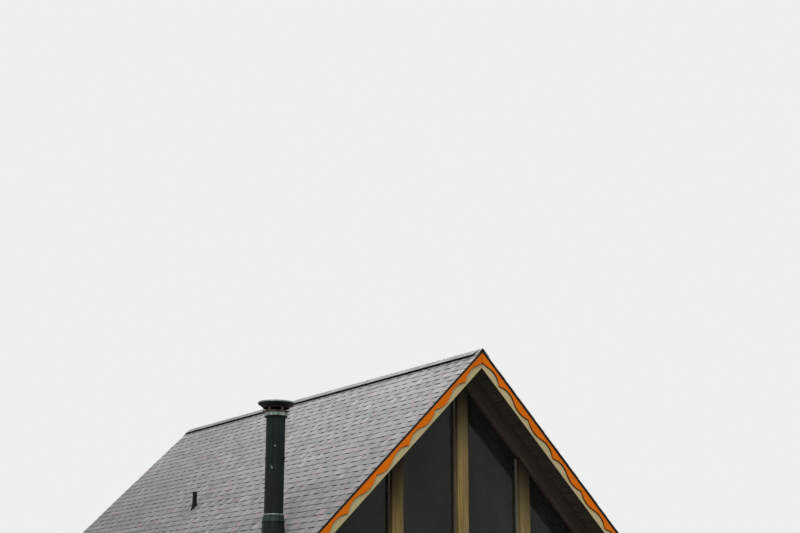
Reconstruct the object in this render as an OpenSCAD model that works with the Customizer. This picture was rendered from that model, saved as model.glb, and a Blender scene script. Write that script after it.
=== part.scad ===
// A-frame cabin: two steep roof slopes that run from the ridge almost to the ground,
// glazed timber gables at both ends, scalloped trim along the rakes and a round chimney.
// Origin on the ground under the middle of the cabin. The front gable faces -Y, the ridge runs along Y.
// Millimetres and degrees.

/* [Roof form] */
// Height of the roof planks' underside at the ridge, above the ground
ridge_h = 5000; // [4600:10:5400]
// Slope of both roof sides, from level
pitch = 45; // [43:0.5:47]
// Height of the planks' underside at the eaves
eave_h = 160; // [120:5:200]
// Length of the roof between the faces of the front and back scalloped trims
roof_l = 9750; // [8800:10:10600]
// Overhang of the roof past the faces of the gable posts
overhang = 500; // [350:10:600]

/* [Roof layers] */
// Thickness of the roof planks
plank_t = 38; // [32:1:50]
// Thickness of the shingle layer at the butts of its courses
shingle_t = 12; // [10:1:16]
// Step down at each butt of a shingle course
butt_step = 5; // [3:0.5:7]
// Exposed length of one shingle course
exposure = 127; // [110:1:145]
// Reach of the shingles past the trims and the eave fascias
shingle_lip = 12; // [6:1:20]

/* [Rafters] */
// Depth of the rafters, square to the slope
rafter_d = 235; // [184:1:286]
// Width of an inner rafter
rafter_w = 89; // [64:1:120]
// Number of inner rafter pairs
rafter_pairs = 6; // [5:1:8]
// Width of the ridge beam
ridge_w = 89; // [64:1:120]
// Depth of the ridge beam
ridge_d = 400; // [330:5:460]

/* [Rake and eave trim] */
// Thickness of the rake boards, scalloped trims and eave fascias
board_t = 19; // [16:1:25]
// Depth of the plain rake board
rake_board_d = 184; // [170:1:200]
// Depth of the scalloped trim at its teeth
trim_d = 140; // [134:1:150]
// Height of the cut at the top of an arch, above the tips of the teeth
arch_cut = 66; // [50:1:80]
// Height of the cut in a notch, above the tips of the teeth
notch_cut = 64; // [50:1:80]
// Height of the lowest point of a bulge, above the tips of the teeth
bulge_cut = 7; // [0:1:15]
// Half width of an arch, from a tooth to the top of the arch
arch_half = 200; // [180:1:220]
// Half width of a bulge, from its lowest point to a notch
bulge_half = 203.5; // [180:0.5:220]
// Distance down the rake from the ridge to the first tooth
first_tooth = 537; // [480:1:600]
// Gap in the mitres at the ridge
mitre_gap = 1; // [0.5:0.1:3]
// Depth of the eave fascia
fascia_d = 89; // [70:1:110]
// Thickness of the drip edge metal
drip_t = 2; // [1:0.5:3]
// Height of the drip edge's face
drip_face = 32; // [25:1:40]
// Width of the drip edge's leg on the planks
drip_leg = 60; // [50:1:80]

/* [Ridge vent] */
// Width of the ridge vent on each slope
vent_w = 100; // [80:1:150]
// Height of the ridge vent's open side, square to the slope and measured at the edge of the cap shingles
vent_h = 32; // [20:1:40]
// Distance from each end of the roof to the ridge vent
vent_end = 60; // [50:5:300]
// Gap between the peak of the roof's shingles and the cap shingles bent over it, square to the slope
crown_gap = 1; // [0.5:0.5:4]
// Thickness of the cap shingles
cap_t = 6; // [4:1:8]
// Reach of the cap shingles down each slope
cap_w = 110; // [90:1:160]

/* [Base and floor] */
// Height of the concrete base above the ground
base_h = 200; // [150:5:250]
// Thickness of the sill plates and of the floor planks
sill_t = 38; // [32:1:50]

/* [Gable walls] */
// Side of a square gable post
post_w = 190; // [150:1:220]
// Distance between the middles of neighbouring posts
post_pitch = 1135; // [1080:5:1180]
// Number of glazed bays on each side of the middle post
glazed_bays = 2; // [2]
// Height of the underside of the girts, above the ground
girt_z = 2270; // [2200:5:2300]
// Depth of a girt
girt_h = 89; // [64:1:100]
// Thickness of the girts and the bottom rails, front to back
rail_t = 140; // [100:1:160]
// Height of a bottom rail under a pane
bottom_rail_h = 140; // [100:1:200]
// Distance from the faces of the posts to the face of the rails
rail_back = 30; // [10:1:50]
// Thickness of a boarded wall panel
panel_t = 120; // [90:1:140]
// Distance from the faces of the posts to the face of a wall panel
panel_back = 50; // [30:1:60]

/* [Glazing] */
// Distance from the faces of the posts to the glass
glass_back = 90; // [70:1:110]
// Thickness of a sealed pane
glass_t = 24; // [16:1:30]
// Visible width of a glazing stop
stop_w = 19; // [12:1:30]
// Depth of a glazing stop, front to back
stop_d = 32; // [20:1:40]
// Clearance where one glazing stop ends on another
stop_gap = 0.3; // [0.1:0.1:1]

/* [Door] */
// Thickness of the door frame's jambs and head
jamb_t = 38; // [30:1:45]
// Depth of the door frame, front to back
jamb_d = 114; // [90:1:140]
// Clearance round the door leaf
leaf_gap = 3; // [2:0.5:5]
// Thickness of the door leaf
leaf_t = 44; // [35:1:50]
// Width of the door leaf's stiles and top rail
stile_w = 115; // [90:1:140]
// Height of the door leaf's bottom rail
kick_h = 240; // [180:5:300]
// Thickness of the pane in the door
door_glass_t = 20; // [12:1:24]
// Height of the door handles above the floor
handle_z = 960; // [900:5:1050]
// Length of a door handle's lever
lever_l = 115; // [100:1:130]
// Radius of a door handle's lever
lever_r = 9; // [7:0.5:11]
// Radius of a door handle's rose
rose_r = 26; // [22:1:30]
// Thickness of a door handle's rose
rose_t = 8; // [5:1:10]
// Distance from the door leaf to the middle of the lever
lever_out = 48; // [40:1:55]
// Height of a door hinge
hinge_h = 100; // [80:5:130]
// Radius of a door hinge's knuckle
hinge_r = 7; // [5:0.5:9]
// Distance from the ends of the door leaf to the upper and lower hinges
hinge_end = 180; // [150:5:250]

/* [Chimney] */
// Distance of the chimney from the middle of the cabin, on the left slope
chimney_x = 2870; // [2700:10:3000]
// Distance of the chimney from the front of the roof
chimney_y = 920; // [900:10:1200]
// Height of the chimney's top above the planks' underside at its axis
chimney_up = 2022; // [1800:1:2300]
// Outer radius of the chimney pipe
pipe_r = 131; // [120:1:140]
// Radius of the flue
flue_r = 100; // [90:1:105]
// Clearance between the chimney pipe and the hole in the roof
hole_gap = 3; // [1:0.5:8]
// Distance from the top of the pipe to its first locking band
section_l = 566; // [500:1:650]
// Length of a chimney section between two locking bands
next_section_l = 914; // [880:1:950]
// Height of a locking band
band_h = 38; // [25:1:50]
// Thickness of a locking band
band_t = 3; // [2:0.5:5]
// Outer radius of the cap's collar
collar_r = 157; // [148:1:168]
// Height of the cap's collar
collar_h = 62; // [54:1:72]
// Height of the dish that flares out above the collar
dish_h = 22; // [14:1:30]
// Outer radius of the open gap between the dish and the lid
gap_r = 182; // [172:1:195]
// Height of the open gap
gap_h = 40; // [30:1:50]
// Number of straps that carry the lid over the gap
straps = 6; // [4:1:8]
// Width of a strap
strap_w = 30; // [20:1:40]
// Thickness of a strap
strap_t = 3; // [2:0.5:4]
// Thickness of the cap's sheet
cap_sheet_t = 6; // [4:1:8]
// Radius of the cap's lid
lid_r = 252; // [230:1:270]
// Height of the cone under the lid
lid_cone_h = 58; // [45:1:70]
// Height of the lid's rim
lid_rim = 26; // [20:1:35]
// Rise of the lid's dome above its rim
lid_rise = 14; // [8:1:30]
// Distance from the pipe's top down to the storm collar
storm_down = 1310; // [1200:1:1400]
// Height of the storm collar
storm_h = 108; // [80:1:120]
// Flare of the storm collar out from the pipe
storm_flare = 25; // [20:1:40]
// Distance from the storm collar's lower rim in to the flashing cone under it
cone_inset = 10; // [4:1:16]
// Thickness of the storm collar and the flashing
sheet_t = 3; // [2:0.5:4]
// Growth of the flashing cone's radius for each unit down
cone_slope = 0.091; // [0.07:0.001:0.12]
// Side of the square flashing plate on the roof
flashing_w = 620; // [580:5:680]
// Side of the square support box under the planks
support_w = 320; // [300:1:360]
// Thickness of the support box's sheet
support_t = 4; // [3:0.5:6]
// Depth of the support box below the planks' underside at the chimney's axis
support_down = 320; // [300:5:400]

/* [Vent pipe] */
// Distance of the vent pipe from the middle of the cabin, on the left slope
stack_x = 1995; // [1900:5:2100]
// Distance of the vent pipe from the front of the roof
stack_y = 5215; // [5150:5:5300]
// Height of the vent pipe above the planks' underside at its axis
stack_up = 325; // [250:5:450]
// Reach of the vent pipe below the planks' underside at its axis
stack_down = 120; // [80:5:200]
// Outer radius of the vent pipe
stack_r = 36.5; // [34:0.5:45]
// Wall of the vent pipe
stack_t = 5; // [4:0.5:7]
// Height of the boot round the vent pipe, above the roof at its axis
boot_h = 60; // [40:1:90]
// Radius of the boot where it meets the roof
boot_r = 58; // [50:1:80]
// Side of the boot's plate along the slope
boot_plate_l = 270; // [250:5:320]
// Side of the boot's plate across the slope
boot_plate_w = 230; // [210:5:280]

/* [Hidden] */
$fn = 48;

// Length of the slope from the ridge to the eaves, along the planks' underside
slope_l = (ridge_h - eave_h) / sin(pitch);
floor_top = base_h + sill_t;
front_y = -roof_l / 2;
wall_y = front_y + overhang;
inner_y = wall_y + post_w;
planks_y = front_y + 2 * board_t;
roof_top = plank_t + shingle_t;
// Lowest line of the scalloped trim and the teeth on it, square to the slope from the planks' underside
tooth_v = plank_t - trim_d;
girt_top = girt_z + girt_h;
rail_top = floor_top + bottom_rail_h;
glass_y = wall_y + glass_back;
stop_y = glass_y - stop_d;
half = post_w / 2;

// Height at x of a plane that lies d below the planks' underside, measured square to the slope
function roof_z(x, d = 0) = ridge_h - abs(x) * tan(pitch) - d / cos(pitch);
// Distance from the middle at which that plane is at height z
function roof_x(z, d = 0) = (ridge_h - z - d / cos(pitch)) / tan(pitch);
// Along a slope: where the upright plane at distance g from the middle meets height v over the planks' underside
function mitre(v, g = 0) = g / cos(pitch) - v * tan(pitch);
// Along a slope: where the level plane on top of the sill plates meets height v
function foot(v) = (ridge_h - floor_top) / sin(pitch) + v / tan(pitch);
// Outline of a layer on a slope from height v0 to v1, ending square at u1 and on the mitre at the ridge
function layer(u1, v0, v1, g = 0) = [[mitre(v0, g), v0], [u1, v0], [u1, v1], [mitre(v1, g), v1]];
// Outline of a rafter whose head stands at distance g from the middle
function rafter(g) =
    [[mitre(-rafter_d, g), -rafter_d], [foot(-rafter_d), -rafter_d], [foot(0), 0], [mitre(0, g), 0]];

wall_x = roof_x(floor_top, rafter_d);
base_x = roof_x(floor_top);
posts_each_side = floor((wall_x - post_w) / post_pitch);

// Solid with the outline pts in x and z, from y0 to y1
module along_y(y0, y1, pts) {
    translate([0, y1, 0]) rotate([90, 0, 0]) linear_extrude(y1 - y0) polygon(pts);
}

// Puts a piece drawn for the right side on the left
module on_left(left = true) {
    if (left) mirror([1, 0, 0]) children();
    else children();
}

// Puts a piece drawn for the front at the back
module at_back(back = true) {
    if (back) mirror([0, 1, 0]) children();
    else children();
}

// Frame of a slope: x runs down the slope from the ridge, z stands square on it
module on_slope(left = false) {
    on_left(left) translate([0, 0, ridge_h]) rotate([0, pitch, 0]) children();
}

// The same piece on both slopes
module both_slopes() {
    on_slope(false) children();
    on_slope(true) children();
}

// Base and floor
module concrete_base() {
    color("#8f8c86") translate([-base_x, wall_y, 0]) cube([2 * base_x, -2 * wall_y, base_h]);
}

module floor_planks() {
    color("#8a6a45") translate([-wall_x, inner_y, base_h]) cube([2 * wall_x, -2 * inner_y, sill_t]);
}

module sill_plates_side() {
    color("#7a6647") {
        for (left = [false, true])
            on_left(left) translate([wall_x, wall_y, base_h]) cube([base_x - wall_x, -2 * wall_y, sill_t]);
    }
}

module sill_plate(back) {
    color("#7a6647") at_back(back) translate([-wall_x, wall_y, base_h]) cube([2 * wall_x, post_w, sill_t]);
}

module sill_plate_front() { sill_plate(false); }

module sill_plate_back() { sill_plate(true); }

// Rafters and ridge
rafter_step = -2 * inner_y / (rafter_pairs + 1);

module rafters(left) {
    color("#6d543a") on_slope(left) {
        for (i = [1:rafter_pairs]) {
            mid_y = inner_y + i * rafter_step;
            along_y(mid_y - rafter_w / 2, mid_y + rafter_w / 2, rafter(ridge_w / 2));
        }
    }
}

module rafters_left() { rafters(true); }

module rafters_right() { rafters(false); }

module ridge_beam() {
    w = ridge_w / 2;
    low = ridge_h - ridge_d;
    color("#6d543a") along_y(inner_y, -inner_y,
        [[-w, low], [w, low], [w, roof_z(w)], [0, ridge_h], [-w, roof_z(w)]]);
}

module gable_rafters(back) {
    color("#3a2d20") at_back(back) both_slopes() along_y(wall_y, inner_y, rafter(mitre_gap / 2));
}

module gable_rafters_front() { gable_rafters(false); }

module gable_rafters_back() { gable_rafters(true); }

// Gable walls
// The opening under the gable rafters, lowered by drop
function gable_outline(drop = 0) = [[-roof_x(floor_top + drop, rafter_d), floor_top],
    [roof_x(floor_top + drop, rafter_d), floor_top], [0, roof_z(0, rafter_d) - drop]];

// A wall piece from x0 to x1 and from z0 to z1, cut to the slope where it reaches the gable rafters
module wall_piece(x0, x1, z0, z1, y, t) {
    intersection() {
        translate([x0, y, z0]) cube([x1 - x0, t, z1 - z0]);
        along_y(y, y + t, gable_outline());
    }
}

module posts(back) {
    color("#8d7348") at_back(back) {
        for (i = [-posts_each_side:posts_each_side])
            wall_piece(i * post_pitch - half, i * post_pitch + half, floor_top, ridge_h, wall_y, post_w);
    }
}

module posts_front() { posts(false); }

module posts_back() { posts(true); }

// Inner and outer edge of bay i, counted from the middle post
function bay_in(i) = i * post_pitch + half;
function bay_out(i) = (i + 1) * post_pitch - half;
function is_door_bay(i, left, back) = i == 0 && !left && !back;

// A level rail in bay i, from z0 to z1
module rail(i, z0, z1) {
    wall_piece(bay_in(i), bay_out(i), z0, z1, wall_y + rail_back, rail_t);
}

module rails(back) {
    color("#7b6340") at_back(back) {
        for (left = [false, true], i = [0:glazed_bays - 1]) {
            on_left(left) rail(i, girt_z, girt_top);
            if (!is_door_bay(i, left, back)) on_left(left) rail(i, floor_top, rail_top);
        }
    }
}

module rails_front() { rails(false); }

module rails_back() { rails(true); }

// Boarded panels fill the bays past the glass and the corners past the last posts
module wall_panels(back) {
    y = wall_y + panel_back;
    color("#4a3a28") at_back(back) for (left = [false, true]) on_left(left) {
        for (i = [glazed_bays:posts_each_side - 1])
            wall_piece(bay_in(i), bay_out(i), floor_top, ridge_h, y, panel_t);
        wall_piece(bay_in(posts_each_side), wall_x, floor_top, ridge_h, y, panel_t);
    }
}

module wall_panels_front() { wall_panels(false); }

module wall_panels_back() { wall_panels(true); }

module glass(back) {
    color([0.16, 0.19, 0.17, 0.6]) at_back(back) for (left = [false, true], i = [0:glazed_bays - 1]) {
        on_left(left) wall_piece(bay_in(i), bay_out(i), girt_top, ridge_h, glass_y, glass_t);
        if (!is_door_bay(i, left, back))
            on_left(left) wall_piece(bay_in(i), bay_out(i), rail_top, girt_z, glass_y, glass_t);
    }
}

module glass_front() { glass(false); }

module glass_back() { glass(true); }

// Stops in front of the pane between xa and xb and from z0 to z1: two upright ones, one below between
// them, and one above, which is level under a girt and sloped under the gable rafters
module stops(xa, xb, z0, z1, sloped) {
    in_a = xa + stop_w + stop_gap;
    in_b = xb - stop_w - stop_gap;
    drop = stop_w / cos(pitch);
    wall_piece(xa, xa + stop_w, z0, z1, stop_y, stop_d);
    wall_piece(xb - stop_w, xb, z0, z1, stop_y, stop_d);
    wall_piece(in_a, in_b, z0, z0 + stop_w, stop_y, stop_d);
    if (sloped) difference() {
        wall_piece(in_a, in_b, z0 + stop_w + stop_gap, z1, stop_y, stop_d);
        along_y(stop_y - 1, glass_y + 1, gable_outline(drop));
    }
    else wall_piece(in_a, in_b, z1 - stop_w, z1, stop_y, stop_d);
}

module glazing_stops(back) {
    color("#8f8c80") at_back(back) for (left = [false, true], i = [0:glazed_bays - 1]) {
        on_left(left) stops(bay_in(i), bay_out(i), girt_top, ridge_h, true);
        if (!is_door_bay(i, left, back))
            on_left(left) stops(bay_in(i), bay_out(i), rail_top, girt_z, false);
    }
}

module glazing_stops_front() { glazing_stops(false); }

module glazing_stops_back() { glazing_stops(true); }

// Door, in the bay right of the middle post
jamb_y = wall_y + rail_back;
leaf_x0 = bay_in(0) + jamb_t + leaf_gap;
leaf_x1 = bay_out(0) - jamb_t - leaf_gap;
leaf_z0 = floor_top + leaf_gap;
leaf_z1 = girt_z - jamb_t - leaf_gap;
leaf_y = jamb_y;

module door_frame() {
    w = bay_out(0) - bay_in(0);
    color("#7b6340") translate([bay_in(0), jamb_y, floor_top]) difference() {
        cube([w, jamb_d, girt_z - floor_top]);
        translate([jamb_t, -1, -1]) cube([w - 2 * jamb_t, jamb_d + 2, girt_z - floor_top - jamb_t + 1]);
    }
}

module door_leaf() {
    color("#6f5738") difference() {
        translate([leaf_x0, leaf_y, leaf_z0]) cube([leaf_x1 - leaf_x0, leaf_t, leaf_z1 - leaf_z0]);
        translate([leaf_x0 + stile_w, leaf_y - 1, leaf_z0 + kick_h])
            cube([leaf_x1 - leaf_x0 - 2 * stile_w, leaf_t + 2, leaf_z1 - leaf_z0 - kick_h - stile_w]);
    }
}

module door_glass() {
    color([0.16, 0.19, 0.17, 0.6])
        translate([leaf_x0 + stile_w, leaf_y + (leaf_t - door_glass_t) / 2, leaf_z0 + kick_h])
            cube([leaf_x1 - leaf_x0 - 2 * stile_w, door_glass_t, leaf_z1 - leaf_z0 - kick_h - stile_w]);
}

// A rose, a neck and a lever that points to the hinge side, on a face at the origin that looks along -Y
module handle() {
    rotate([90, 0, 0]) cylinder(r = rose_r, h = rose_t);
    rotate([90, 0, 0]) cylinder(r = lever_r, h = lever_out + lever_r);
    translate([0, -lever_out, 0]) rotate([0, 90, 0]) cylinder(r = lever_r, h = lever_l);
}

// Each hinge has its plates in the gap between leaf and frame, and its knuckle in front of the leaf
module door_hinges() {
    mid_z = (leaf_z0 + leaf_z1) / 2;
    color("#3b3a37") for (z = [leaf_z0 + hinge_end, mid_z, leaf_z1 - hinge_end]) {
        translate([leaf_x1, leaf_y - hinge_r, z - hinge_h / 2]) cube([leaf_gap, leaf_t + hinge_r, hinge_h]);
        translate([leaf_x1 + leaf_gap / 2, leaf_y - hinge_r, z - hinge_h / 2]) cylinder(r = hinge_r, h = hinge_h);
    }
}

module door_handles() {
    x = leaf_x0 + stile_w / 2;
    color("#3b3a37") {
        translate([x, leaf_y, floor_top + handle_z]) handle();
        translate([x, leaf_y + leaf_t, floor_top + handle_z]) mirror([0, 1, 0]) handle();
    }
}

// Pipes through the left slope
chimney_z = roof_z(chimney_x);
stack_z = roof_z(stack_x);

module at_chimney(z = 0) {
    translate([-chimney_x, front_y + chimney_y, z]) children();
}

module at_stack(z = 0) {
    translate([-stack_x, front_y + stack_y, z]) children();
}

// The holes for both pipes in the left slope
module pipe_holes() {
    at_chimney(eave_h) cylinder(r = pipe_r + hole_gap, h = ridge_h);
    at_stack(eave_h) cylinder(r = stack_r + hole_gap, h = ridge_h);
}

// Roof planks and shingles
module roof_planks(left) {
    color("#4a3826") on_slope(left) along_y(planks_y, -planks_y, layer(slope_l, 0, plank_t));
}

module roof_planks_left() {
    difference() {
        roof_planks(true);
        pipe_holes();
    }
}

module roof_planks_right() { roof_planks(false); }

shingle_end = slope_l + board_t + shingle_lip;
courses = floor(shingle_end / exposure);
// Outline of the shingle courses: each surface falls back to the butt of the course above it
shingle_outline = concat(
    [[mitre(plank_t), plank_t], [shingle_end, plank_t]],
    [for (k = [0:courses - 1]) each [[shingle_end - k * exposure, roof_top],
        [shingle_end - (k + 1) * exposure, roof_top - butt_step]]],
    [[shingle_end - courses * exposure, roof_top], [mitre(roof_top), roof_top]]);

module shingles(left) {
    face = front_y - drip_t;
    reach = front_y - shingle_lip;
    // The drip edge lies in a rebate under the shingles, along the rakes and the eaves
    color("#9a9591") on_slope(left) difference() {
        along_y(reach, -reach, shingle_outline);
        for (back = [false, true]) at_back(back)
            along_y(reach - 1, face + drip_leg, layer(shingle_end + 1, 0, drip_top, -1));
        translate([slope_l + board_t + drip_t - drip_leg, reach - 1, 0])
            cube([drip_leg + shingle_lip, 2 - 2 * reach, drip_top]);
    }
}

module shingles_left() {
    difference() {
        shingles(true);
        pipe_holes();
    }
}

module shingles_right() { shingles(false); }

// Rake boards and scalloped trim
module rake_boards(back) {
    color("#a79d76") at_back(back) both_slopes()
        along_y(front_y + board_t, planks_y, layer(slope_l, plank_t - rake_board_d, plank_t, mitre_gap / 2));
}

module rake_boards_front() { rake_boards(false); }

module rake_boards_back() { rake_boards(true); }

// The lower edge of the trim is a run of circular arcs that meet in teeth and notches and pass
// smoothly from arch to bulge. From a tooth at s = 0 the arch is highest at s = arch_half, the bulge
// is lowest at s = bulge_s, and the notch is at s = half_run.
function arc_radius(half_chord, rise) = (half_chord * half_chord + rise * rise) / (2 * rise);
arch_r = arc_radius(arch_half, arch_cut);
bulge_r = arc_radius(bulge_half, notch_cut - bulge_cut);
// Height from the lowest point of a bulge to the top of an arch
swing = arch_cut - bulge_cut;
bulge_s = arch_half + sqrt(2 * swing * (arch_r + bulge_r) - swing * swing);
half_run = bulge_s + bulge_half;
blend_s = arch_half + (bulge_s - arch_half) * arch_r / (arch_r + bulge_r);

// Height over the teeth at distance s from a tooth
function arch_v(s) = arch_cut - arch_r + sqrt(arch_r * arch_r - (s - arch_half) * (s - arch_half));
function bulge_v(s) = bulge_cut + bulge_r - sqrt(bulge_r * bulge_r - (s - bulge_s) * (s - bulge_s));
function scallop_v(s) = tooth_v + (s < blend_s ? arch_v(s) : bulge_v(s));

// Steps along each arc of the outline
arc_steps = 10;
half_steps = concat([for (i = [0:arc_steps - 1]) blend_s * i / arc_steps],
    [for (i = [0:arc_steps - 1]) blend_s + (half_run - blend_s) * i / arc_steps]);
// One whole run from tooth to tooth, then as many as the rake takes
run_points = concat([for (s = half_steps) [s, scallop_v(s)]], [[half_run, scallop_v(half_run)]],
    [for (i = [len(half_steps) - 1:-1:1]) [2 * half_run - half_steps[i], scallop_v(half_steps[i])]]);
runs = ceil((slope_l + half_run) / (2 * half_run));
scallop_edge = [for (k = [-1:runs]) for (p = run_points) [first_tooth + 2 * k * half_run + p[0], p[1]]];

module scalloped_trim(back) {
    u0 = scallop_edge[0][0];
    u1 = scallop_edge[len(scallop_edge) - 1][0];
    end = slope_l + board_t;
    color("#c06414") at_back(back) both_slopes()
        translate([0, front_y + board_t, 0]) rotate([90, 0, 0]) linear_extrude(board_t) intersection() {
            polygon(concat([[u0, plank_t]], scallop_edge, [[u1, plank_t]]));
            polygon(layer(end, tooth_v - 1, plank_t, mitre_gap / 2));
        }
}

module scalloped_trim_front() { scalloped_trim(false); }

module scalloped_trim_back() { scalloped_trim(true); }

// Drip edges along the rakes and the eaves
drip_top = plank_t + drip_t;
// Section of the drip edge: its outer corner is at the origin, its leg runs along x and its face hangs along y
drip_section = [[0, 0], [0, -drip_face], [drip_t, -drip_face], [drip_t, -drip_t], [drip_leg, -drip_t],
    [drip_leg, 0]];

module rake_drip() {
    face = front_y - drip_t;
    end = slope_l + board_t;
    intersection() {
        translate([-drip_leg, face, drip_top]) rotate([90, 0, 90])
            linear_extrude(end + drip_leg) polygon(drip_section);
        along_y(face - 1, face + drip_leg + 1, layer(end + 1, tooth_v, drip_top + 1, mitre_gap / 2));
    }
}

module eave_drip() {
    y = front_y - drip_t + drip_leg + mitre_gap;
    end = slope_l + board_t + drip_t;
    along_y(y, -y, [for (p = drip_section) [end - p[0], drip_top + p[1]]]);
}

module drip_edges() {
    color("#24302b") both_slopes() {
        eave_drip();
        for (back = [false, true]) at_back(back) rake_drip();
    }
}

module eave_fascias() {
    fascia_y = front_y + board_t;
    color("#a79d76") both_slopes()
        translate([slope_l, fascia_y, plank_t - fascia_d]) cube([board_t, -2 * fascia_y, fascia_d]);
}

// Ridge vent and cap shingles
// A strip over the ridge, from height v0 to v1 over the planks' underside and w down each slope
module strip_over_ridge(y0, y1, w, v0, v1) {
    both_slopes() along_y(y0, y1, layer(w, v0, v1));
}

// The vent has a wing on each slope, and the caps are bent over both
// The cap shingles are bent over the vent at a flatter pitch than the roof's. Their underside passes
// close over the peak of the shingles and rises over the slope to the vent's height at their edge.
crown_v = roof_top + crown_gap;
cap_tilt = atan((roof_top + vent_h - crown_v) / (cap_w - mitre(crown_v)));
cap_rise = cap_t / cos(cap_tilt);
peak_v = crown_v + cap_rise / (1 + tan(pitch) * tan(cap_tilt));
function cap_low(u) = crown_v + (u - mitre(crown_v)) * tan(cap_tilt);

module ridge_vent() {
    y = front_y + vent_end;
    color("#2e2f2e") both_slopes() along_y(y, -y,
        [[0, roof_top], [vent_w, roof_top], [vent_w, cap_low(vent_w)], [0, cap_low(0)]]);
}

module ridge_caps() {
    y = front_y + vent_end;
    reach = front_y - shingle_lip;
    color("#8d8885") {
        both_slopes() along_y(y, -y, [[mitre(crown_v), crown_v], [cap_w, cap_low(cap_w)],
            [cap_w, cap_low(cap_w) + cap_rise], [mitre(peak_v), peak_v]]);
        for (back = [false, true]) at_back(back)
            strip_over_ridge(reach, y - mitre_gap, cap_w, roof_top, roof_top + cap_t);
    }
}

// Chimney
// Heights above the pipe's top: of the gap in the cap, of the cone over it, of the lid's rim and of its dome
gap_z = collar_h + dish_h;
lid_cone_z = gap_z + gap_h;
rim_z = lid_cone_z + lid_cone_h;
dome_z = rim_z + lid_rim;
pipe_top = chimney_z + chimney_up - dome_z - lid_rise;
pipe_bottom = chimney_z - support_down;
storm_top = pipe_top - storm_down;
cone_top = storm_top - storm_h;
cone_r = pipe_r + storm_flare - cone_inset;

module chimney_pipe() {
    band_1 = pipe_top - section_l;
    band_2 = band_1 - next_section_l;
    b = band_h / 2;
    color("#262b2a") at_chimney() rotate_extrude() polygon(concat(
        [[flue_r, pipe_bottom], [pipe_r, pipe_bottom]],
        [for (z = [band_2, band_1]) each
            [[pipe_r, z - b], [pipe_r + band_t, z - b], [pipe_r + band_t, z + b], [pipe_r, z + b]]],
        [[pipe_r, pipe_top], [flue_r, pipe_top]]));
}

// The lid's dome is an arc through its rim and its middle
dome_r = arc_radius(lid_r, lid_rise);
dome_steps = 8;
dome_points = [for (i = [dome_steps:-1:0]) let (r = lid_r * i / dome_steps)
    [r, dome_z + lid_rise - dome_r + sqrt(dome_r * dome_r - r * r)]];

module chimney_cap() {
    t = cap_sheet_t;
    // The straps stand in the lips of the dish and the lid's cone, just inside their outer faces
    strap_x = sqrt(pow(gap_r - 1, 2) - pow(strap_w / 2, 2)) - strap_t;
    color("#2a2e2c") at_chimney(pipe_top) {
        rotate_extrude() polygon([[flue_r, 0], [collar_r, 0], [collar_r, collar_h], [gap_r, gap_z - t],
            [gap_r, gap_z], [gap_r - t, gap_z], [collar_r - t, collar_h], [flue_r, collar_h]]);
        for (i = [0:straps - 1])
            rotate([0, 0, (i + 0.5) * 360 / straps])
                translate([strap_x, -strap_w / 2, gap_z - t / 2]) cube([strap_t, strap_w, gap_h + t]);
        rotate_extrude() polygon(concat([[0, rim_z + t], [lid_r - t, rim_z + t], [gap_r - t, lid_cone_z],
            [gap_r, lid_cone_z], [gap_r, lid_cone_z + t], [lid_r, rim_z]], dome_points));
    }
}

module storm_collar() {
    color("#2c302e") at_chimney(cone_top) rotate_extrude() polygon(
        [[pipe_r, storm_h], [pipe_r, storm_h - sheet_t], [pipe_r + storm_flare - sheet_t, 0],
        [pipe_r + storm_flare, 0], [pipe_r + sheet_t, storm_h]]);
}

// A round cone cut off by the slope, on a plate that lies on the shingles
module cone(r_top, grow, low) {
    translate([0, 0, -low]) cylinder(r1 = r_top + low * grow, r2 = r_top, h = low);
}

module slope_plate(l, w, x, y) {
    u = x / cos(pitch) + roof_top * tan(pitch);
    on_slope(true) translate([u - l / 2, y - w / 2, roof_top]) cube([l, w, sheet_t]);
}

module chimney_flashing() {
    low = cone_top - eave_h;
    y = front_y + chimney_y;
    color("#343a37") difference() {
        union() {
            slope_plate(flashing_w, flashing_w, chimney_x, y);
            intersection() {
                at_chimney(cone_top) cone(cone_r + sheet_t / 2, cone_slope, low);
                on_slope(true) translate([0, y - flashing_w / 2, roof_top]) cube([slope_l, flashing_w, ridge_h]);
            }
        }
        at_chimney(cone_top + 1) cone(cone_r - sheet_t / 2 - cone_slope, cone_slope, low);
    }
}

module chimney_support() {
    s = support_w / 2;
    low = pipe_bottom - support_t;
    color("#262b2a") difference() {
        at_chimney(low) translate([-s, -s, 0]) cube([support_w, support_w, ridge_h]);
        at_chimney(pipe_bottom) translate([support_t - s, support_t - s, 0])
            cube([support_w - 2 * support_t, support_w - 2 * support_t, ridge_h]);
        at_chimney(low - 1) cylinder(r = flue_r, h = support_t + 2);
        on_slope(true) translate([0, front_y, 0]) cube([slope_l, roof_l, 2 * ridge_h]);
    }
}

// Vent pipe and its boot
module vent_pipe() {
    color("#2b2c2b") at_stack(stack_z - stack_down) difference() {
        cylinder(r = stack_r, h = stack_up + stack_down);
        translate([0, 0, -1]) cylinder(r = stack_r - stack_t, h = stack_up + stack_down + 2);
    }
}

module vent_boot() {
    top = stack_z + roof_top / cos(pitch) + boot_h;
    grow = (boot_r - stack_r) / boot_h;
    low = 2 * boot_h + boot_r;
    y = front_y + stack_y;
    color("#2f3130") difference() {
        union() {
            slope_plate(boot_plate_l, boot_plate_w, stack_x, y);
            intersection() {
                at_stack(top) cone(stack_r + sheet_t, grow, low);
                on_slope(true) translate([0, y - boot_plate_w / 2, roof_top])
                    cube([slope_l, boot_plate_w, ridge_h]);
            }
        }
        at_stack(eave_h) cylinder(r = stack_r, h = ridge_h);
    }
}

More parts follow.
